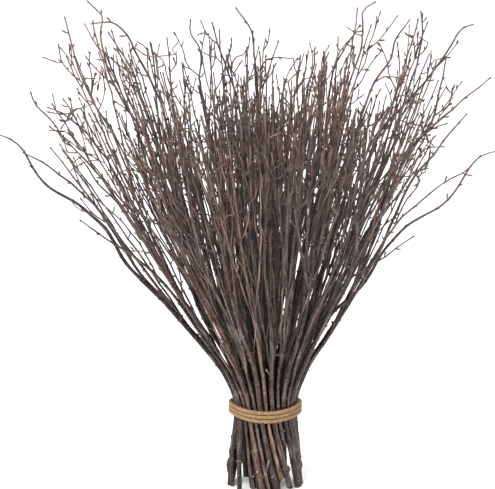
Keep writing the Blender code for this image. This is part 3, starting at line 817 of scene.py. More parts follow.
class Tubes:
    """Closed round tubes, gathered to become one mesh. Every point knows its place on the bark."""

    FIELDS = ("girth", "tone", "scar", "bud")

    def __init__(self):
        self.points = []
        self.corners = []
        self.counts = []
        self.flat = []
        self.cut = []
        self.bark_at = []
        self.fields = {field: [] for field in self.FIELDS}
        self.strips = []
        self.total = 0
        self.draw = random.Random(LOOK_SEED)

    def add(self, line, radii, sides, tone, scars=None, bud=0.0, level_start=False, cut_end=False,
            uneven=0.0, reference=None, twist=0.0, slant=(0.0, 0.0)):
        count = len(line)
        ahead = unit(np.gradient(line, axis=0))
        if reference is None:
            reference = np.linalg.svd(line - line.mean(axis=0), full_matrices=False)[2][-1]
            reference = np.broadcast_to(reference, line.shape)
        side = unit(reference - ahead * np.einsum("ij,ij->i", ahead, reference)[:, None])
        across = np.cross(ahead, side)
        if level_start:
            side[0] = unit(side[0] * (1, 1, 0))
            across[0] = np.cross((0, 0, 1), side[0])
        along = lengths_along(line)
        angles = 2 * math.pi * np.arange(sides) / sides
        lobes = sum(share * np.cos(count_round * angles[None, :] + wave * along[:, None] + tone * shift)
                    for share, count_round, wave, shift in LOBES)
        reach = radii[:, None] * (1.0 + uneven * lobes)
        spokes = np.cos(angles)[:, None] * side[:, None] + np.sin(angles)[:, None] * across[:, None]
        points = line[:, None] + reach[:, :, None] * spokes
        if level_start:
            rise = points[0, :, 0] * slant[0] + points[0, :, 1] * slant[1]
            points[0, :, 2] += rise - rise.min()
        offset = self.draw.uniform(0.0, BARK_REACH)
        turns = angles[None, :] + twist * along[:, None]
        bark_at = np.stack([radii[:, None] * np.cos(turns), radii[:, None] * np.sin(turns),
                            np.repeat(along[:, None] + offset, sides, axis=1)], axis=-1)
        scars = np.zeros(count) if scars is None else scars
        ring = np.arange(sides)
        onward = (ring + 1) % sides
        base = self.total
        lower = base + sides * np.arange(count - 1)[:, None]
        upper = lower + sides
        quads = np.stack([lower + ring, lower + onward, upper + onward, upper + ring], axis=-1)
        self.corners.append(quads.reshape(-1))
        self.counts.append(np.full(sides * (count - 1), 4))
        self.corners.append(base + ring[::-1])
        self.counts.append(np.array([sides]))
        flat = [np.zeros(sides * (count - 1), bool), np.array([True])]
        cut = [np.zeros(sides * (count - 1), int), np.array([int(level_start)])]
        last = base + sides * (count - 1)
        points = points.reshape(-1, 3)
        bark_at = bark_at.reshape(-1, 3)
        fields = {"girth": np.repeat(radii / MM, sides), "tone": np.full(len(points), tone),
                  "scar": np.repeat(scars, sides), "bud": np.full(len(points), bud)}
        if cut_end:
            self.corners.append(last + ring)
            self.counts.append(np.array([sides]))
            flat.append(np.array([True]))
            cut.append(np.array([1]))
        else:
            pole = base + len(points)
            points = np.vstack([points, line[-1] + ahead[-1] * TIP_RISE * radii[-1]])
            bark_at = np.vstack([bark_at, [0.0, 0.0, along[-1] + offset]])
            fields = {field: np.append(values, values[-1]) for field, values in fields.items()}
            tip = np.stack([last + ring, last + onward, np.full(sides, pole)], axis=-1)
            self.corners.append(tip.reshape(-1))
            self.counts.append(np.full(sides, 3))
            flat.append(np.zeros(sides, bool))
            cut.append(np.zeros(sides, int))
        width = 2 * math.pi * radii.max()
        heights = [2 * radii[0], *np.maximum(np.diff(along), LEAST_ROW), 2 * radii[-1]]
        self.strips.append((width, np.array(heights), sides, cut_end))
        self.points.append(points)
        self.bark_at.append(bark_at)
        for field, values in fields.items():
            self.fields[field].append(values)
        self.flat.extend(flat)
        self.cut.extend(cut)
        self.total += len(points)

    def unrolled(self):
        """The UV place of every face corner. The tubes are unrolled and cut into columns that stand side
        by side in a square, the widest tubes first, so that no two faces overlap."""
        area = sum((width + STRIP_GAP) * heights.sum() for width, heights, _, _ in self.strips)
        tall = math.sqrt(SPARE * area)
        rows = {}
        across = 0.0
        up = 0.0
        column = 0.0
        for number in sorted(range(len(self.strips)), key=lambda number: -self.strips[number][0]):
            width, heights, _, _ = self.strips[number]
            column = column or width
            places = []
            for height in heights:
                if up + height > tall:
                    across += column + STRIP_GAP
                    column = width
                    up = 0.0
                places.append((across, up))
                up += height
            up += STRIP_GAP
            rows[number] = np.array(places)
        size = max(across + column, tall)
        corners = [strip_corners(rows[number], *strip) for number, strip in enumerate(self.strips)]
        return np.concatenate(corners) / size

    def make(self, name, materials):
        """The gathered tubes as one object."""
        mesh = bpy.data.meshes.new(name)
        points = np.concatenate(self.points)
        corners = np.concatenate(self.corners)
        counts = np.concatenate(self.counts)
        mesh.vertices.add(len(points))
        mesh.vertices.foreach_set("co", points.reshape(-1))
        mesh.loops.add(len(corners))
        mesh.loops.foreach_set("vertex_index", corners)
        mesh.polygons.add(len(counts))
        mesh.polygons.foreach_set("loop_start", np.cumsum(counts) - counts)
        mesh.update(calc_edges=True)
        for surface in materials:
            mesh.materials.append(surface)
        mesh.polygons.foreach_set("material_index", np.concatenate(self.cut))
        mesh.polygons.foreach_set("use_smooth", ~np.concatenate(self.flat))
        mesh.uv_layers.new(name="OFBake").uv.foreach_set("vector", self.unrolled().reshape(-1))
        placed = mesh.attributes.new("bark_at", "FLOAT_VECTOR", "POINT")
        placed.data.foreach_set("vector", np.concatenate(self.bark_at).reshape(-1))
        for field, values in self.fields.items():
            mesh.attributes.new(field, "FLOAT", "POINT").data.foreach_set("value", np.concatenate(values))
        mesh.update()
        made = bpy.data.objects.new(name, mesh)
        bpy.context.scene.collection.objects.link(made)
        return made


def stray(look, most):
    """A random amount, up to this much either way."""
    return look.uniform(-most, most)


def sideways(ahead, heading):
    """A direction square to a branch, at this heading round it."""
    level = np.array([1.0, 0.0, 0.0]) if abs(ahead[2]) > 0.5 else np.array([0.0, 0.0, 1.0])
    one = unit(np.cross(ahead, level))
    return one * math.cos(heading) + np.cross(ahead, one) * math.sin(heading)


def add_bud(tubes, place, ahead, side, radius, look, size=1.0):
    """A pointed bud that leans away from the twig."""
    lean = look.uniform(*BUD_LEAN)
    along = unit(ahead + side * lean)
    length = look.uniform(*BUD_LENGTH) * size
    thick = look.uniform(*BUD_RADIUS) * size
    shares = np.array([-0.12, 0.12, 0.4, 0.72, 0.93])
    radii = thick * np.array([0.7, 0.9, 1.0, 0.66, 0.3])
    rise = shares[:, None]
    line = place + side * radius * 0.7 + along * length * rise + side * thick * 0.2 * rise
    tubes.add(line, radii, THIN_SIDES, look.random(), bud=1.0)


def tip_line(branch, look):
    """A branch's line and radii with its end bud, which is a little thicker than the tip."""
    place = branch.line[-1]
    ahead = unit(branch.line[-1] - branch.line[-2])
    length = look.uniform(*TIP_LENGTH)
    thick = max(branch.radii[-1] * look.uniform(*TIP_SWELL), LEAST_TIP)
    shares = np.array([0.22, 0.5, 0.8, 0.96])
    line = np.vstack([branch.line, place + ahead * length * shares[:, None]])
    radii = np.concatenate([branch.radii, thick * np.array([0.9, 1.0, 0.62, 0.3])])
    return line, radii


def shoot_route(place, ahead, side, length, look):
    """A shoot leaves its branch at an angle and bends towards the light, or now and then away."""
    angle = look.uniform(*SHOOT_ANGLE)
    start = ahead * math.cos(angle) + side * math.sin(angle)
    light = unit(ahead * 0.7 + np.array([0.0, 0.0, 1.0]) * 0.5 + side * look.uniform(-0.2, 0.3))
    if look.random() < AWAY_SHARE:
        light = unit(start * 0.6 + sideways(start, look.uniform(0, 2 * math.pi)) * 0.9)
    sway = sideways(start, look.uniform(0, 2 * math.pi)) * length * look.uniform(0.0, SHOOT_BEND)
    route = []
    for step in SHOOT_STEPS:
        route.append(place + length * (start * step + (light - start) * 0.5 * step**2)
                     + sway * math.sin(math.pi * step))
    return route


def add_branch(tubes, branch, look, sides, level, shoots=SHOOT_SHARE, foot=False):
    """A branch's tube with its end bud, and what grows at its nodes."""
    line, radii = tip_line(branch, look)
    scars = np.concatenate([branch.scars, np.zeros(len(radii) - len(branch.scars))])
    uneven = STEM_LOBES if sides > INNER_SIDES else 0.0
    slant = (0.0, 0.0)
    if foot:
        slant = tuple(look.uniform(*slopes) for slopes in FOOT_SLANT)
    tubes.add(line, radii, sides, branch.tone, scars, level_start=foot, uneven=uneven, slant=slant)
    heading = look.uniform(0, 2 * math.pi)
    for node in branch.nodes:
        heading += NODE_TURN + stray(look, BUD_STRAY)
        place, ahead, radius = branch.at(node)
        side = sideways(ahead, heading)
        kind = look.random()
        if radius > OLD_BARK:
            add_old_node(tubes, place, ahead, side, radius, branch.tone, kind, look)
            continue
        if abs(place[2] - TIE_HEIGHT) < NO_SHOOTS:
            continue
        growth = np.interp(place[2], *SHOOTS_BY_HEIGHT)
        shoots_here = shoots * growth
        if level < SHOOT_ORDERS and kind < shoots_here:
            longer = (SHOOT_LENGTH[1] - SHOOT_LENGTH[0]) * look.random() ** SHOOT_POWER
            length = min(SHOOT_LENGTH[0] + longer, 1.1 * (branch.length - node) + 8 * MM)
            add_shoot(tubes, place, ahead, side, radius, length, branch.tone, look, level)
        elif kind < shoots_here + SPUR_SHARE * growth:
            add_spur(tubes, place, ahead, side, branch.tone, look)
        elif kind < shoots_here + BUD_SHARE:
            add_bud(tubes, place, ahead, side, radius, look)


def add_shoot(tubes, place, ahead, side, radius, length, tone, look, level):
    """A side shoot, which may bear a smaller one."""
    route = shoot_route(place, ahead, side, length, look)
    thick = max(SHOOT_RADIUS, min(radius * look.uniform(*SHOOT_THINNING), THICKEST_SHOOT))
    radii = thinning(thick, SHOOT_RADIUS, len(route))
    shoot = Branch(route, radii, look, tone + stray(look, SHOOT_TONE_STRAY), sway=SHOOT_SWAY)
    add_branch(tubes, shoot, look, THIN_SIDES, level + 1)


def add_spur(tubes, place, ahead, side, tone, look):
    """A short ringed spur with a fat bud on its end."""
    length = look.uniform(*SPUR_LENGTH) * MM
    along = unit(ahead * look.uniform(0.3, 0.9) + side)
    shares = np.array([0.0, 0.3, 0.45, 0.6, 0.75, 1.0])
    radii = np.array(SPUR_RADII) * MM
    line = place + along * length * shares[:, None]
    tubes.add(line, radii, THIN_SIDES, tone)
    end = line[-1] - along * 0.6 * MM
    add_bud(tubes, end, along, unit(ahead + side * 0.2), 0.2 * MM, look, size=SPUR_BUD)


def add_old_node(tubes, place, ahead, side, radius, tone, kind, look):
    """On old bark: a knob, or the stub of a shoot that was cut off."""
    if abs(place[2] - TIE_HEIGHT) < NO_KNOBS:
        return
    if kind < STUB_SHARE:
        length = look.uniform(*STUB_LENGTH) * MM + radius
        thick = look.uniform(*STUB_RADIUS) * MM
        along = unit(side + ahead * look.uniform(0.2, 0.9))
        shares = np.array([0.2, 0.6, 0.85, 1.0])
        line = place + along * length * shares[:, None]
        radii = thick * np.array([1.25, 1.05, 1.0, 0.92])
        tubes.add(line, radii, STUB_SIDES, tone, cut_end=kind < PALE_STUB_SHARE, uneven=STUB_LOBES)
    elif kind < KNOB_SHARE:
        thick = look.uniform(*KNOB_GIRTH) * radius
        shares = np.array([-0.9, -0.35, 0.2, 0.6])
        line = place + side * radius * 0.62 + ahead * thick * 1.3 * shares[:, None]
        radii = thick * np.array([0.45, 0.9, 0.85, 0.4])
        tubes.add(line, radii, INNER_SIDES, tone, bud=KNOB_BUD)


def fine_fork(run, look, level):
    """A thinner fork of a stem or main fork, which runs on beside it."""
    route, radii = run
    found = place_on(route, radii, look.uniform(*level), 0 if len(route) <= FAN_START + 1 else FAN_START)
    if not found:
        return None
    start, ahead, radius = found
    length = (route[-1] - start).length * look.uniform(*FINE_FORK_LENGTH)
    heading = look.uniform(0, 2 * math.pi)
    side = Vector(tuple(sideways(np.array(ahead), heading)))
    spread = look.uniform(*FINE_FORK_SPREAD)
    fork = [start + ahead * length * step + side * spread * step**FINE_FORK_CURVE for step in FINE_FORK_STEPS]
    thick = max(radius * FINE_THINNING, FINE_RADIUS)
    return fork, [thick + (FINE_RADIUS - thick) * step for step in FINE_FORK_STEPS]


def dress_twig(number, stem, runs, standing_out, to_side, room):
    """All of one twig: its tubes and its branches."""
    look = random.Random(LOOK_SEED + number)
    tone = look.random()
    outer = stem["ring"] == OUTER_RING
    if abs(runs[0][0][0].x) > FOOT_GAP[1] or outer and stem["place"] in SECOND_LEGS:
        tone = LEG_TONE
    # The inner stems take the near-black tones at the ramp's ends: painted shade between the stems.
    if not outer:
        tone = look.choice(INNER_SHADE_TONES) + stray(look, INNER_TONE_STRAY)
    girth = look.uniform(*(THIN_STEM if stem["place"] % 2 else THICK_STEM))
    reach = runs[0][0][-1].x if standing_out else 0.0
    crowded = stem["ring"] < CROWDED_RINGS or abs(reach) > CROWDED_SIDE
    kept_share = RIGHT_SHARE if reach > CROWDED_SIDE else CROWDED_SHARE
    tubes = Tubes()
    branches = []
    for order, (route, radii) in enumerate(runs):
        radii = shown_radii(stem, order, radii, girth)
        if order:
            route = rooted(route, branches[0].line)
        branch = Branch(route, radii, look, tone + stray(look, STEM_TONE_STRAY))
        branches.append(branch)
        stands_out = standing_out and (order == 0 or route[-1].z > SPARSE_HEIGHT)
        shoots = SPARSE_SHOOTS if stands_out else SHOOT_SHARE
        sides = STEM_SIDES if stem["solid"] and order == 0 else INNER_SIDES
        add_branch(tubes, branch, look, sides, order > 0, shoots, foot=order == 0)
        for level, share in zip(FINE_FORKS, FINE_FORK_SHARE):
            if look.random() > share or to_side or (order and look.random() < BARE_SHARE):
                continue
            if crowded and look.random() > kept_share:
                continue
            for _ in range(FINE_FORK_TRIES):
                planned = fine_fork((route, radii), look, level)
                if planned and room.is_free(number, *planned):
                    room.take(number, *planned)
                    fork, fork_radii = planned
                    fork = rooted(fork, branch.line)
                    fine = Branch(fork, fork_radii, look, tone + stray(look, FORK_TONE_STRAY))
                    add_branch(tubes, fine, look, THIN_SIDES, 2)
                    branches.append(fine)
                    break
    return tubes, branches


def rooted(route, line):
    """The route, made to start on the nearest point of its parent's line."""
    near = int(np.argmin(np.linalg.norm(line - np.array(route[0]), axis=1)))
    return [Vector(tuple(line[near])), *route[1:]]


def thinning(thick, thin, count):
    """This many radii, evenly from thick to thin."""
    return [thick + (thin - thick) * step / (count - 1) for step in range(count)]


def shown_radii(stem, order, radii, girth):
    """The radii that a twig is shown with. The outer stems are thick and thin by turns, and those that
    only this script has fill the tie a little more."""
    if stem["ring"] == OUTER_RING:
        return [TIP_RADIUS + (radius - TIP_RADIUS) * girth for radius in radii]
    if order == 0 and not stem["solid"]:
        return [radius * share for radius, share in zip(radii, (*INNER_GIRTHS, *[1.0] * len(radii)))]
    return radii


def photo_place(pixel, depth):
    """The place that the photograph shows at this pixel, this far behind the tie's axis."""
    across = (pixel[0] - PHOTO_SIZE[0] / 2) / FOCAL
    up = (PHOTO_SIZE[1] / 2 - pixel[1]) / FOCAL
    ray = Vector((across, 0, 0)) + CAMERA_UP * up - TO_CAMERA
    return CAMERA_PLACE + ray * (depth - CAMERA_PLACE.y) / ray.y


def photo_pixels(points):
    """Where the photograph shows these points."""
    seen = points - np.array(CAMERA_PLACE)
    distance = -(seen @ np.array(TO_CAMERA))
    return np.stack([PHOTO_SIZE[0] / 2 + FOCAL * seen[:, 0] / distance,
                     PHOTO_SIZE[1] / 2 - FOCAL * (seen @ np.array(CAMERA_UP)) / distance], axis=-1)


class Seen:
    """Every branch as the photograph shows it."""

    def __init__(self, bundle):
        self.bundle = bundle
        owned = [(number, branch) for number, (_, branches) in bundle.items() for branch in branches]
        self.points = np.concatenate([branch.line for _, branch in owned])
        self.ways = np.concatenate([unit(np.gradient(branch.line, axis=0)) for _, branch in owned])
        self.radii = np.concatenate([branch.radii for _, branch in owned])
        self.owners = np.concatenate([np.full(len(branch.line), number) for number, branch in owned])
        self.tones = np.concatenate([np.full(len(branch.line), branch.tone) for _, branch in owned])
        self.pixels = photo_pixels(self.points)

    def gaps(self, pixel):
        return np.hypot(self.pixels[:, 0] - pixel[0], self.pixels[:, 1] - pixel[1])

    def near(self, pixel):
        """The branch point nearest to this pixel that isn't far behind the others there."""
        return int(np.argmin(self.gaps(pixel) + np.clip(self.points[:, 1] / SEEN_DEPTH, 0, SEEN_REACH)))

    def front(self, pixel):
        """The branch point near this pixel that stands in front."""
        return int(np.argmin(self.gaps(pixel) + self.points[:, 1] / DEPTH_COST))

    def front_depth(self, pixel):
        """How far back the front-most branch is round this pixel."""
        near = self.gaps(pixel) < FRONT_REACH
        return self.points[near, 1].min() if near.any() else self.points[self.front(pixel), 1]

    def tubes(self, near):
        return self.bundle[int(self.owners[near])][0]


def add_seen_shoots(seen):
    """The shoots read from the photograph. Each grows from the branch that passes nearest to its start."""
    look = random.Random(LOOK_SEED - 3)
    other_edge = [(bud, [(EDGE_SUM - across, down + EDGE_DROP) for across, down in places])
                  for bud, places in EDGE_SHOOTS]
    for bud, places in (*SEEN_SHOOTS, *EDGE_SHOOTS, *other_edge):
        start = places[-1]
        near = seen.near(start)
        home = seen.points[near]
        drift = stray(look, SEEN_DRIFT)
        route = [Vector(tuple(home))]
        for pixel in reversed(places[:-1]):
            route.append(photo_place(pixel, home[1] + drift * math.dist(pixel, start) * MM))
        thick = SEEN_RADIUS * look.uniform(*SEEN_GIRTH)
        radii = thinning(thick, SHOOT_RADIUS, len(route))
        shoot = Branch(route, radii, look, look.random(), sway=SEEN_SHOOT_SWAY)
        add_branch(seen.tubes(near), shoot, look, INNER_SIDES, SHOOT_ORDERS)
        if bud > 1.0:
            ahead = unit(shoot.line[-1] - shoot.line[-2])
            side = sideways(ahead, look.uniform(0, 6))
            add_bud(seen.tubes(near), shoot.line[-1], ahead, side, 0.0, look, size=bud)


def add_seen_forks(seen):
    """The thin forks above the tie. Each leaves the front stem at its start and runs up over the others."""
    look = random.Random(LOOK_SEED - 4)
    for thick, tone, places in SEEN_FORKS:
        near = seen.front(places[0])
        route = [Vector(tuple(seen.points[near]))]
        for pixel in places[1:]:
            route.append(photo_place(pixel, seen.front_depth(pixel) - FRONT_LIFT))
        radii = thinning(thick * MM, FORK_TIP, len(route))
        fork = Branch(route, radii, look, tone, sway=SEEN_FORK_SWAY)
        add_branch(seen.tubes(near), fork, look, STUB_SIDES, 2)


def add_seen_stubs(seen):
    """The stubs, knobs and rings read from the photograph, each on the stem that shows there."""
    look = random.Random(LOOK_SEED - 5)
    for start, tip, out, pale in SEEN_STUBS:
        near = seen.front(start)
        home = seen.points[near]
        end = np.array(photo_place(tip, home[1])) + np.array([0.0, -(seen.radii[near] + out * MM), 0.0])
        shares = np.array([0.1, 0.5, 0.85, 1.0])
        line = home + (end - home) * shares[:, None]
        radii = look.uniform(0.75, 0.95) * MM * np.array([1.3, 1.05, 1.0, 0.95])
        scars = np.array([0.0, 0.5, 0.9, 1.0])
        tone = seen.tones[near]
        seen.tubes(near).add(line, radii, SEEN_SIDES, tone, scars=scars, cut_end=pale, uneven=STEM_LOBES)
    for across, down, size in SEEN_KNOBS:
        near = int(np.argmin(seen.gaps((across, down)) + (seen.radii < OLD_BARK) * OUT_OF_REACH))
        radius = seen.radii[near]
        out = np.array([math.copysign(1.0, seen.points[near, 0]), 0.0, 0.0])
        shares = np.array([-2.6, -1.3, -0.3, 0.8, 1.7])
        line = seen.points[near] + out * radius * 0.6 + seen.ways[near] * radius * shares[:, None]
        thick = size * radius * np.array([0.35, 0.75, 1.0, 0.8, 0.3])
        seen.tubes(near).add(line, thick, SEEN_SIDES, seen.tones[near], uneven=KNOB_LOBES)
    for pixel in SEEN_RINGS:
        near = seen.front(pixel)
        shares = np.array([-1.1, -0.5, 0.0, 0.5, 1.1])
        line = seen.points[near] + seen.ways[near] * shares[:, None] * 0.9 * MM
        radii = seen.radii[near] * np.array([0.9, 1.08, 1.13, 1.07, 0.9])
        scars = np.array([0.3, 1.0, 1.0, 0.9, 0.3])
        seen.tubes(near).add(line, radii, STEM_SIDES, seen.tones[near], scars=scars)


class Nodes:
    """A material's node tree, built one node at a time."""

    def __init__(self, name):
        self.material = bpy.data.materials.new(name)
        self.material.use_nodes = True
        self.tree = self.material.node_tree
        self.shader = self.tree.nodes["Principled BSDF"]

    def add(self, kind, inputs=(), **settings):
        made = self.tree.nodes.new(kind)
        for key, value in settings.items():
            setattr(made, key, value)
        for key, value in dict(inputs).items():
            if isinstance(value, bpy.types.NodeSocket):
                self.tree.links.new(value, made.inputs[key])
            else:
                made.inputs[key].default_value = value
        return made

    def attribute(self, name, output="Fac"):
        return self.add("ShaderNodeAttribute", attribute_name=name).outputs[output]

    def stretched(self, vector, scale):
        return self.add("ShaderNodeVectorMath", {0: vector, 1: scale}, operation="MULTIPLY").outputs[0]

    def noise(self, vector, scale, detail=3.0, roughness=0.55):
        made = self.add("ShaderNodeTexNoise",
                        {"Vector": self.stretched(vector, scale), "Scale": 1.0, "Detail": detail,
                         "Roughness": roughness})
        return made.outputs["Fac"]

    def ramp(self, value, stops):
        made = self.add("ShaderNodeValToRGB", {"Fac": value})
        elements = made.color_ramp.elements
        while len(elements) < len(stops):
            elements.new(0.5)
        for element, (position, colour) in zip(elements, stops):
            element.position = position
            element.color = (*colour, 1.0) if len(colour) == 3 else colour
        return made.outputs["Color"]

    def range(self, value, low, high, to_low=0.0, to_high=1.0):
        made = self.add("ShaderNodeMapRange", {"Value": value, "From Min": low, "From Max": high,
                                               "To Min": to_low, "To Max": to_high})
        return made.outputs["Result"]

    def math(self, operation, one, other):
        return self.add("ShaderNodeMath", {0: one, 1: other}, operation=operation).outputs[0]

    def mix(self, share, one, other, blend="MIX"):
        made = self.add("ShaderNodeMix", data_type="RGBA", blend_type=blend)
        for socket, value in (("Factor_Float", share), ("A_Color", one), ("B_Color", other)):
            target = next(item for item in made.inputs if item.identifier == socket)
            if isinstance(value, bpy.types.NodeSocket):
                self.tree.links.new(value, target)
            elif socket == "Factor_Float":
                target.default_value = value
            else:
                target.default_value = (*value, 1.0)
        return next(item for item in made.outputs if item.identifier == "Result_Color")

    def bump(self, height, strength, distance):
        inputs = {"Height": height, "Strength": strength, "Distance": distance}
        return self.add("ShaderNodeBump", inputs).outputs["Normal"]

    def finish(self, sockets):
        for key, value in sockets.items():
            if isinstance(value, bpy.types.NodeSocket):
                self.tree.links.new(value, self.shader.inputs[key])
            elif isinstance(value, tuple):
                self.shader.inputs[key].default_value = (*value, 1.0)
            else:
                self.shader.inputs[key].default_value = value
        return self.material


def bark_material():
    """Dark grey-brown bark: streaked and scuffed along the stem, the light and dark streaks partly the bark's
    own and partly painted highlight and painted shade, redder on the young wood, with pale breathing marks
    across it and paler rings at the nodes. The near-black ends of the tone ramp are painted shade on the
    inner stems."""
    nodes = Nodes("bark")
    place = nodes.attribute("bark_at", "Vector")
    tone = nodes.attribute("tone")
    girth = nodes.attribute("girth")
    streaks = nodes.noise(place, (850.0, 850.0, 80.0), detail=4.0, roughness=0.6)
    patches = nodes.noise(place, (260.0, 260.0, 45.0), detail=3.0)
    marks = nodes.noise(place, (420.0, 420.0, 1900.0), detail=1.0)
    # Both ends of the ramp are near black: a few outer stems take them as their own dark bark, and the inner
    # stems take them as painted shade.
    base = nodes.ramp(tone, (
        (0.0, (0.012, 0.008, 0.0075)), (0.16, (0.052, 0.036, 0.033)), (0.28, (0.090, 0.061, 0.053)),
        (0.45, (0.038, 0.022, 0.018)), (0.62, (0.088, 0.045, 0.033)), (0.8, (0.135, 0.082, 0.058)),
        (0.92, (0.056, 0.030, 0.024)), (1.0, (0.014, 0.008, 0.007)),
    ))
    young = nodes.mix(nodes.range(tone, 0.2, 0.9), (0.070, 0.052, 0.047), (0.118, 0.074, 0.059))
    base = nodes.mix(nodes.range(girth, 1.5, 0.6), base, young)
    # The streaks are partly the bark's own and partly painted highlight and painted shade: the light ones
    # lift the colour up to 2.2 times, and the dark ones cut it to a fifth.
    streaks_and_painted_light = nodes.ramp(streaks, (
        (0.36, (0.2, 0.18, 0.18)), (0.5, (0.88, 0.85, 0.83)), (0.68, (2.2, 2.08, 2.02)),
    ))
    dark = nodes.mix(1.0, base, streaks_and_painted_light, "MULTIPLY")
    scuffs = nodes.math("MULTIPLY", nodes.range(patches, 0.5, 0.68), nodes.range(streaks, 0.4, 0.62))
    worn = nodes.mix(nodes.math("MULTIPLY", scuffs, 0.75), dark, (0.20, 0.165, 0.15))
    on_old_wood = nodes.range(girth, 0.8, 1.5, 0.0, 0.7)
    pale_marks = nodes.math("MULTIPLY", nodes.range(marks, 0.64, 0.7), on_old_wood)
    marked = nodes.mix(pale_marks, worn, (0.30, 0.25, 0.21))
    scar = nodes.math("MULTIPLY", nodes.range(nodes.attribute("scar"), 0.45, 1.0), 0.65)
    ringed = nodes.mix(scar, marked, (0.24, 0.18, 0.145))
    bud = nodes.math("MULTIPLY", nodes.attribute("bud"), 0.85)
    budded = nodes.mix(bud, ringed, (0.055, 0.036, 0.030))
    rough = nodes.range(streaks, 0.3, 0.7, 0.32, 0.58)
    relief = nodes.math("ADD", streaks, nodes.math("MULTIPLY", patches, 0.8))
    normal = nodes.bump(relief, 0.7, 0.35 * MM)
    return nodes.finish({"Base Color": budded, "Roughness": rough, "Normal": normal,
                         "Specular IOR Level": 0.24})


def cut_material():
    """Pale cut wood: noisy bands of lighter and darker wood, like year rings."""
    nodes = Nodes("cut_wood")
    place = nodes.attribute("bark_at", "Vector")
    rings = nodes.noise(place, (3000.0, 3000.0, 20.0), detail=3.0)
    colour = nodes.ramp(rings, (
        (0.3, (0.24, 0.16, 0.105)), (0.55, (0.42, 0.32, 0.225)), (0.7, (0.52, 0.42, 0.31)),
    ))
    relief = nodes.bump(rings, 0.5, 0.1 * MM)
    return nodes.finish({"Base Color": colour, "Roughness": 0.8, "Normal": relief})


def jute_material():
    """Tan jute: fine fibres along the strands, lighter and darker by turns."""
    nodes = Nodes("jute")
    place = nodes.attribute("bark_at", "Vector")
    fibres = nodes.noise(place, (7000.0, 7000.0, 420.0), detail=3.0, roughness=0.65)
    patches = nodes.noise(place, (500.0, 500.0, 160.0), detail=2.0)
    plain = nodes.ramp(fibres, (
        (0.28, (0.095, 0.052, 0.024)), (0.5, (0.26, 0.166, 0.088)), (0.72, (0.41, 0.285, 0.16)),
    ))
    shade = nodes.ramp(patches, ((0.3, (0.72, 0.68, 0.62)), (0.7, (1.25, 1.22, 1.15))))
    colour = nodes.mix(0.6, plain, shade, "MULTIPLY")
    relief = nodes.bump(fibres, 0.8, 0.2 * MM)
    return nodes.finish({"Base Color": colour, "Roughness": 0.88, "Normal": relief,
                         "Specular IOR Level": 0.25})


# The rope: three strands laid round each other, each a little flattened by its neighbours.
STRANDS = 3
STRAND_OFFSET = 0.87 * MM
STRAND_RADIUS = 0.92 * MM
STRAND_LAY = 14.5 * MM
STRAND_STEP = 0.8 * MM
STRAND_SIDES = 8
STRAND_SPOTS = 120
STRAND_UNEVEN = (0.93, 1.07)
HAIRS = 900
END_HAIRS = 40
END_REACH = 1.3 * MM
HAIR_STEPS = 5
HAIR_LENGTH = (2.0 * MM, 9.0 * MM)
HAIR_RADIUS = 0.035 * MM


def tie_shift(angle):
    """How much higher the rope runs at this angle than at the front and back."""
    return SIDE_RISE * math.cos(angle) ** 2 - TIE_TILT * (BUNDLE_RADIUS + ROPE_RADIUS) * math.cos(angle)


def rope_line():
    """The rope's middle from one end to the other, and a direction across it at each point."""
    flat_loss = (ROPE_RADIUS + BUNDLE_RADIUS) * (1 - math.cos(math.pi / ROPE_STEPS_PER_TURN))
    circle = BUNDLE_RADIUS + TOUCH_GAP + ROPE_RADIUS + 0.5 * flat_loss
    back = math.pi / 2
    wobble = random.Random(LOOK_SEED - 1)

    def behind(place):
        across, up, out = (value * MM for value in place)
        angle = back + across / circle
        height = TIE_HEIGHT + up + tie_shift(angle)
        return Vector(((circle + out) * math.cos(angle), (circle + out) * math.sin(angle), height))

    winding = []
    first = ROPE_START_ANGLE
    last = 2 * math.pi * TIE_TURNS - ROPE_START_ANGLE
    steps = TIE_TURNS * ROPE_STEPS_PER_TURN
    for step in range(steps + 1):
        angle = first + (last - first) * step / steps
        height = TIE_HEIGHT + ROPE_PITCH * (angle / (2 * math.pi) - TIE_TURNS / 2)
        height += wobble.uniform(-0.12, 0.12) * MM + tie_shift(back + angle)
        winding.append(Vector((circle * math.cos(back + angle), circle * math.sin(back + angle), height)))
    line, _, _ = fine_line([*map(behind, LOW_END), *winding, *map(behind, HIGH_END)], STRAND_STEP)
    ahead = unit(np.gradient(line, axis=0))
    sides = [unit(np.cross(ahead[0], (0.0, 1.0, 0.0)))]
    for way in ahead[1:]:
        sides.append(unit(sides[-1] - way * (sides[-1] @ way)))
    return line, ahead, np.array(sides)


def add_rope(jute):
    """The laid rope with its loose fibres, as one mesh."""
    line, ahead, side = rope_line()
    across = np.cross(ahead, side)
    along = lengths_along(line)
    look = random.Random(LOOK_SEED - 2)
    tubes = Tubes()
    strands = []
    for number in range(STRANDS):
        turn = 2 * math.pi * (along / STRAND_LAY + number / STRANDS)
        out = np.cos(turn)[:, None] * side + np.sin(turn)[:, None] * across
        strand = line + out * STRAND_OFFSET
        girths = [look.uniform(*STRAND_UNEVEN) for _ in range(STRAND_SPOTS)]
        radii = STRAND_RADIUS * np.interp(along, np.linspace(0, along[-1], STRAND_SPOTS), girths)
        tubes.add(strand, radii, STRAND_SIDES, look.random(), cut_end=True, reference=out,
                  twist=-2 * math.pi / STRAND_LAY)
        strands.append((strand, out))
    for _ in range(HAIRS):
        strand, out = strands[look.randrange(STRANDS)]
        at = look.randrange(len(strand))
        add_hair(tubes, strand[at], ahead[at], out[at], np.cross(ahead[at], out[at]), look)
    for end, way in ((0, -1.0), (-1, 1.0)):
        for _ in range(END_HAIRS):
            start = line[end] + side[end] * look.uniform(-END_REACH, END_REACH)
            start += across[end] * look.uniform(-END_REACH, END_REACH)
            out = side[end] * look.uniform(-1, 1)
            add_hair(tubes, start, ahead[end] * way * 3.0, out, across[end], look)
    return tubes.make("jute_rope", [jute, jute])


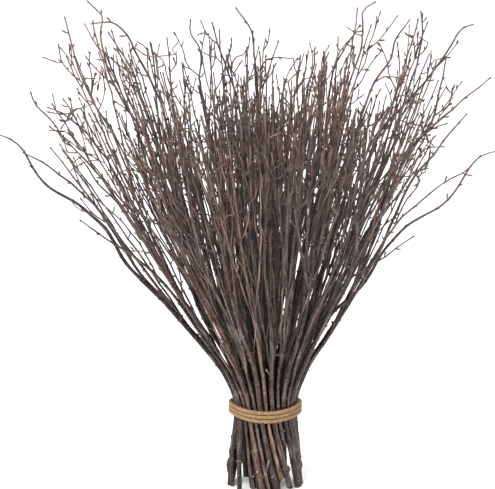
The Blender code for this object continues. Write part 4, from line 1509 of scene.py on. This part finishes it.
def add_hair(tubes, start, ahead, out, across, look):
    """One loose fibre, curling away from the rope."""
    length = look.uniform(*HAIR_LENGTH)
    way = ahead * look.choice((-1, 1)) * 0.9
    way = unit(way + out * look.uniform(0.1, 0.6) + across * look.uniform(-0.4, 0.4))
    bend = out * look.uniform(-0.3, 0.5) + across * look.uniform(-0.4, 0.4)
    shares = np.linspace(0.0, 1.0, HAIR_STEPS)[:, None]
    line = start + out * 0.8 * STRAND_RADIUS + length * (way * shares + 0.5 * bend * shares**2)
    tubes.add(line, np.full(HAIR_STEPS, HAIR_RADIUS), 3, look.random())


# The studio: its lights, each with its place, what it points at, its size and its power.
SKY_STRENGTH = 0.8
FLOOR_SIZE = 40.0
FLOOR_MIDDLE = (0.0, 8.0, 0.0)
LIGHTS = (
    ("key", (-1.1, -1.5, 2.2), (0, 0, 0.2), 2.2, 120),
    ("fill", (1.7, -1.2, 1.6), (0, 0, 0.2), 2.0, 34),
    ("backdrop", (0, 4.2, 3.2), (0, 4.2, 0), 5.0, 90),
)


def add_floor():
    nodes = Nodes("floor")
    place = nodes.add("ShaderNodeTexCoord").outputs["Object"]
    mottle = nodes.noise(place, (2.0, 2.0, 2.0), detail=2.0)
    colour = nodes.ramp(mottle, ((0.3, (0.91, 0.91, 0.91)), (0.7, (0.93, 0.93, 0.93))))
    paper = nodes.finish({"Base Color": colour, "Roughness": 0.9, "Specular IOR Level": 0.1})
    bpy.ops.mesh.primitive_plane_add(size=FLOOR_SIZE, location=FLOOR_MIDDLE)
    floor = bpy.context.object
    floor.name = "studio_floor"
    floor.data.materials.append(paper)


def add_area_light(name, place, target, size, power):
    data = bpy.data.lights.new(name, "AREA")
    data.shape = "DISK"
    data.size = size
    data.energy = power
    light = bpy.data.objects.new(name, data)
    light.location = place
    light.rotation_euler = (Vector(target) - Vector(place)).to_track_quat("-Z", "Y").to_euler()
    bpy.context.scene.collection.objects.link(light)


def add_studio():
    """A pale floor under an even white sky, with a large soft light from the front left."""
    add_floor()
    world = bpy.data.worlds.new("studio")
    world.use_nodes = True
    sky = world.node_tree.nodes["Background"]
    sky.inputs["Color"].default_value = (1.0, 1.0, 1.0, 1.0)
    sky.inputs["Strength"].default_value = SKY_STRENGTH
    bpy.context.scene.world = world
    for light in LIGHTS:
        add_area_light(*light)
    bpy.context.scene.view_settings.view_transform = "Standard"


def add_camera():
    data = bpy.data.cameras.new("camera")
    data.sensor_width = SENSOR
    data.lens = SENSOR * FOCAL / PHOTO_SIZE[0]
    data.clip_end = 100.0
    camera = bpy.data.objects.new("camera", data)
    camera.location = CAMERA_PLACE
    camera.rotation_euler = (math.pi / 2 - CAMERA_ELEVATION, 0, 0)
    bpy.context.scene.collection.objects.link(camera)
    bpy.context.scene.camera = camera


def main():
    add_camera()
    add_studio()
    spots = stem_spots()
    owners = give_out(standout_routes(), spots)
    room = Room()
    twigs = plan_bundle(spots, owners, room)
    materials = [bark_material(), cut_material()]
    solid_count = 0
    inner_count = 0
    bundle = {}
    for number in sorted(twigs):
        to_side = number in owners and owners[number][0][0].z < LOW_STANDOUT
        bundle[number] = dress_twig(number, spots[number], twigs[number], number in owners, to_side, room)
    seen = Seen(bundle)
    add_seen_shoots(seen)
    add_seen_forks(seen)
    add_seen_stubs(seen)
    for number, (tubes, _) in bundle.items():
        if spots[number]["solid"]:
            solid_count += 1
            piece = tubes.make(f"fine_twig_{solid_count:02d}", materials)
            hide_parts(f"twig_{solid_count:02d}")
        else:
            inner_count += 1
            piece = tubes.make(f"inner_twig_{inner_count:02d}", materials)
        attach(piece, "root")
    rope = add_rope(jute_material())
    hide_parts("tie")
    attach(rope, "root")


main()
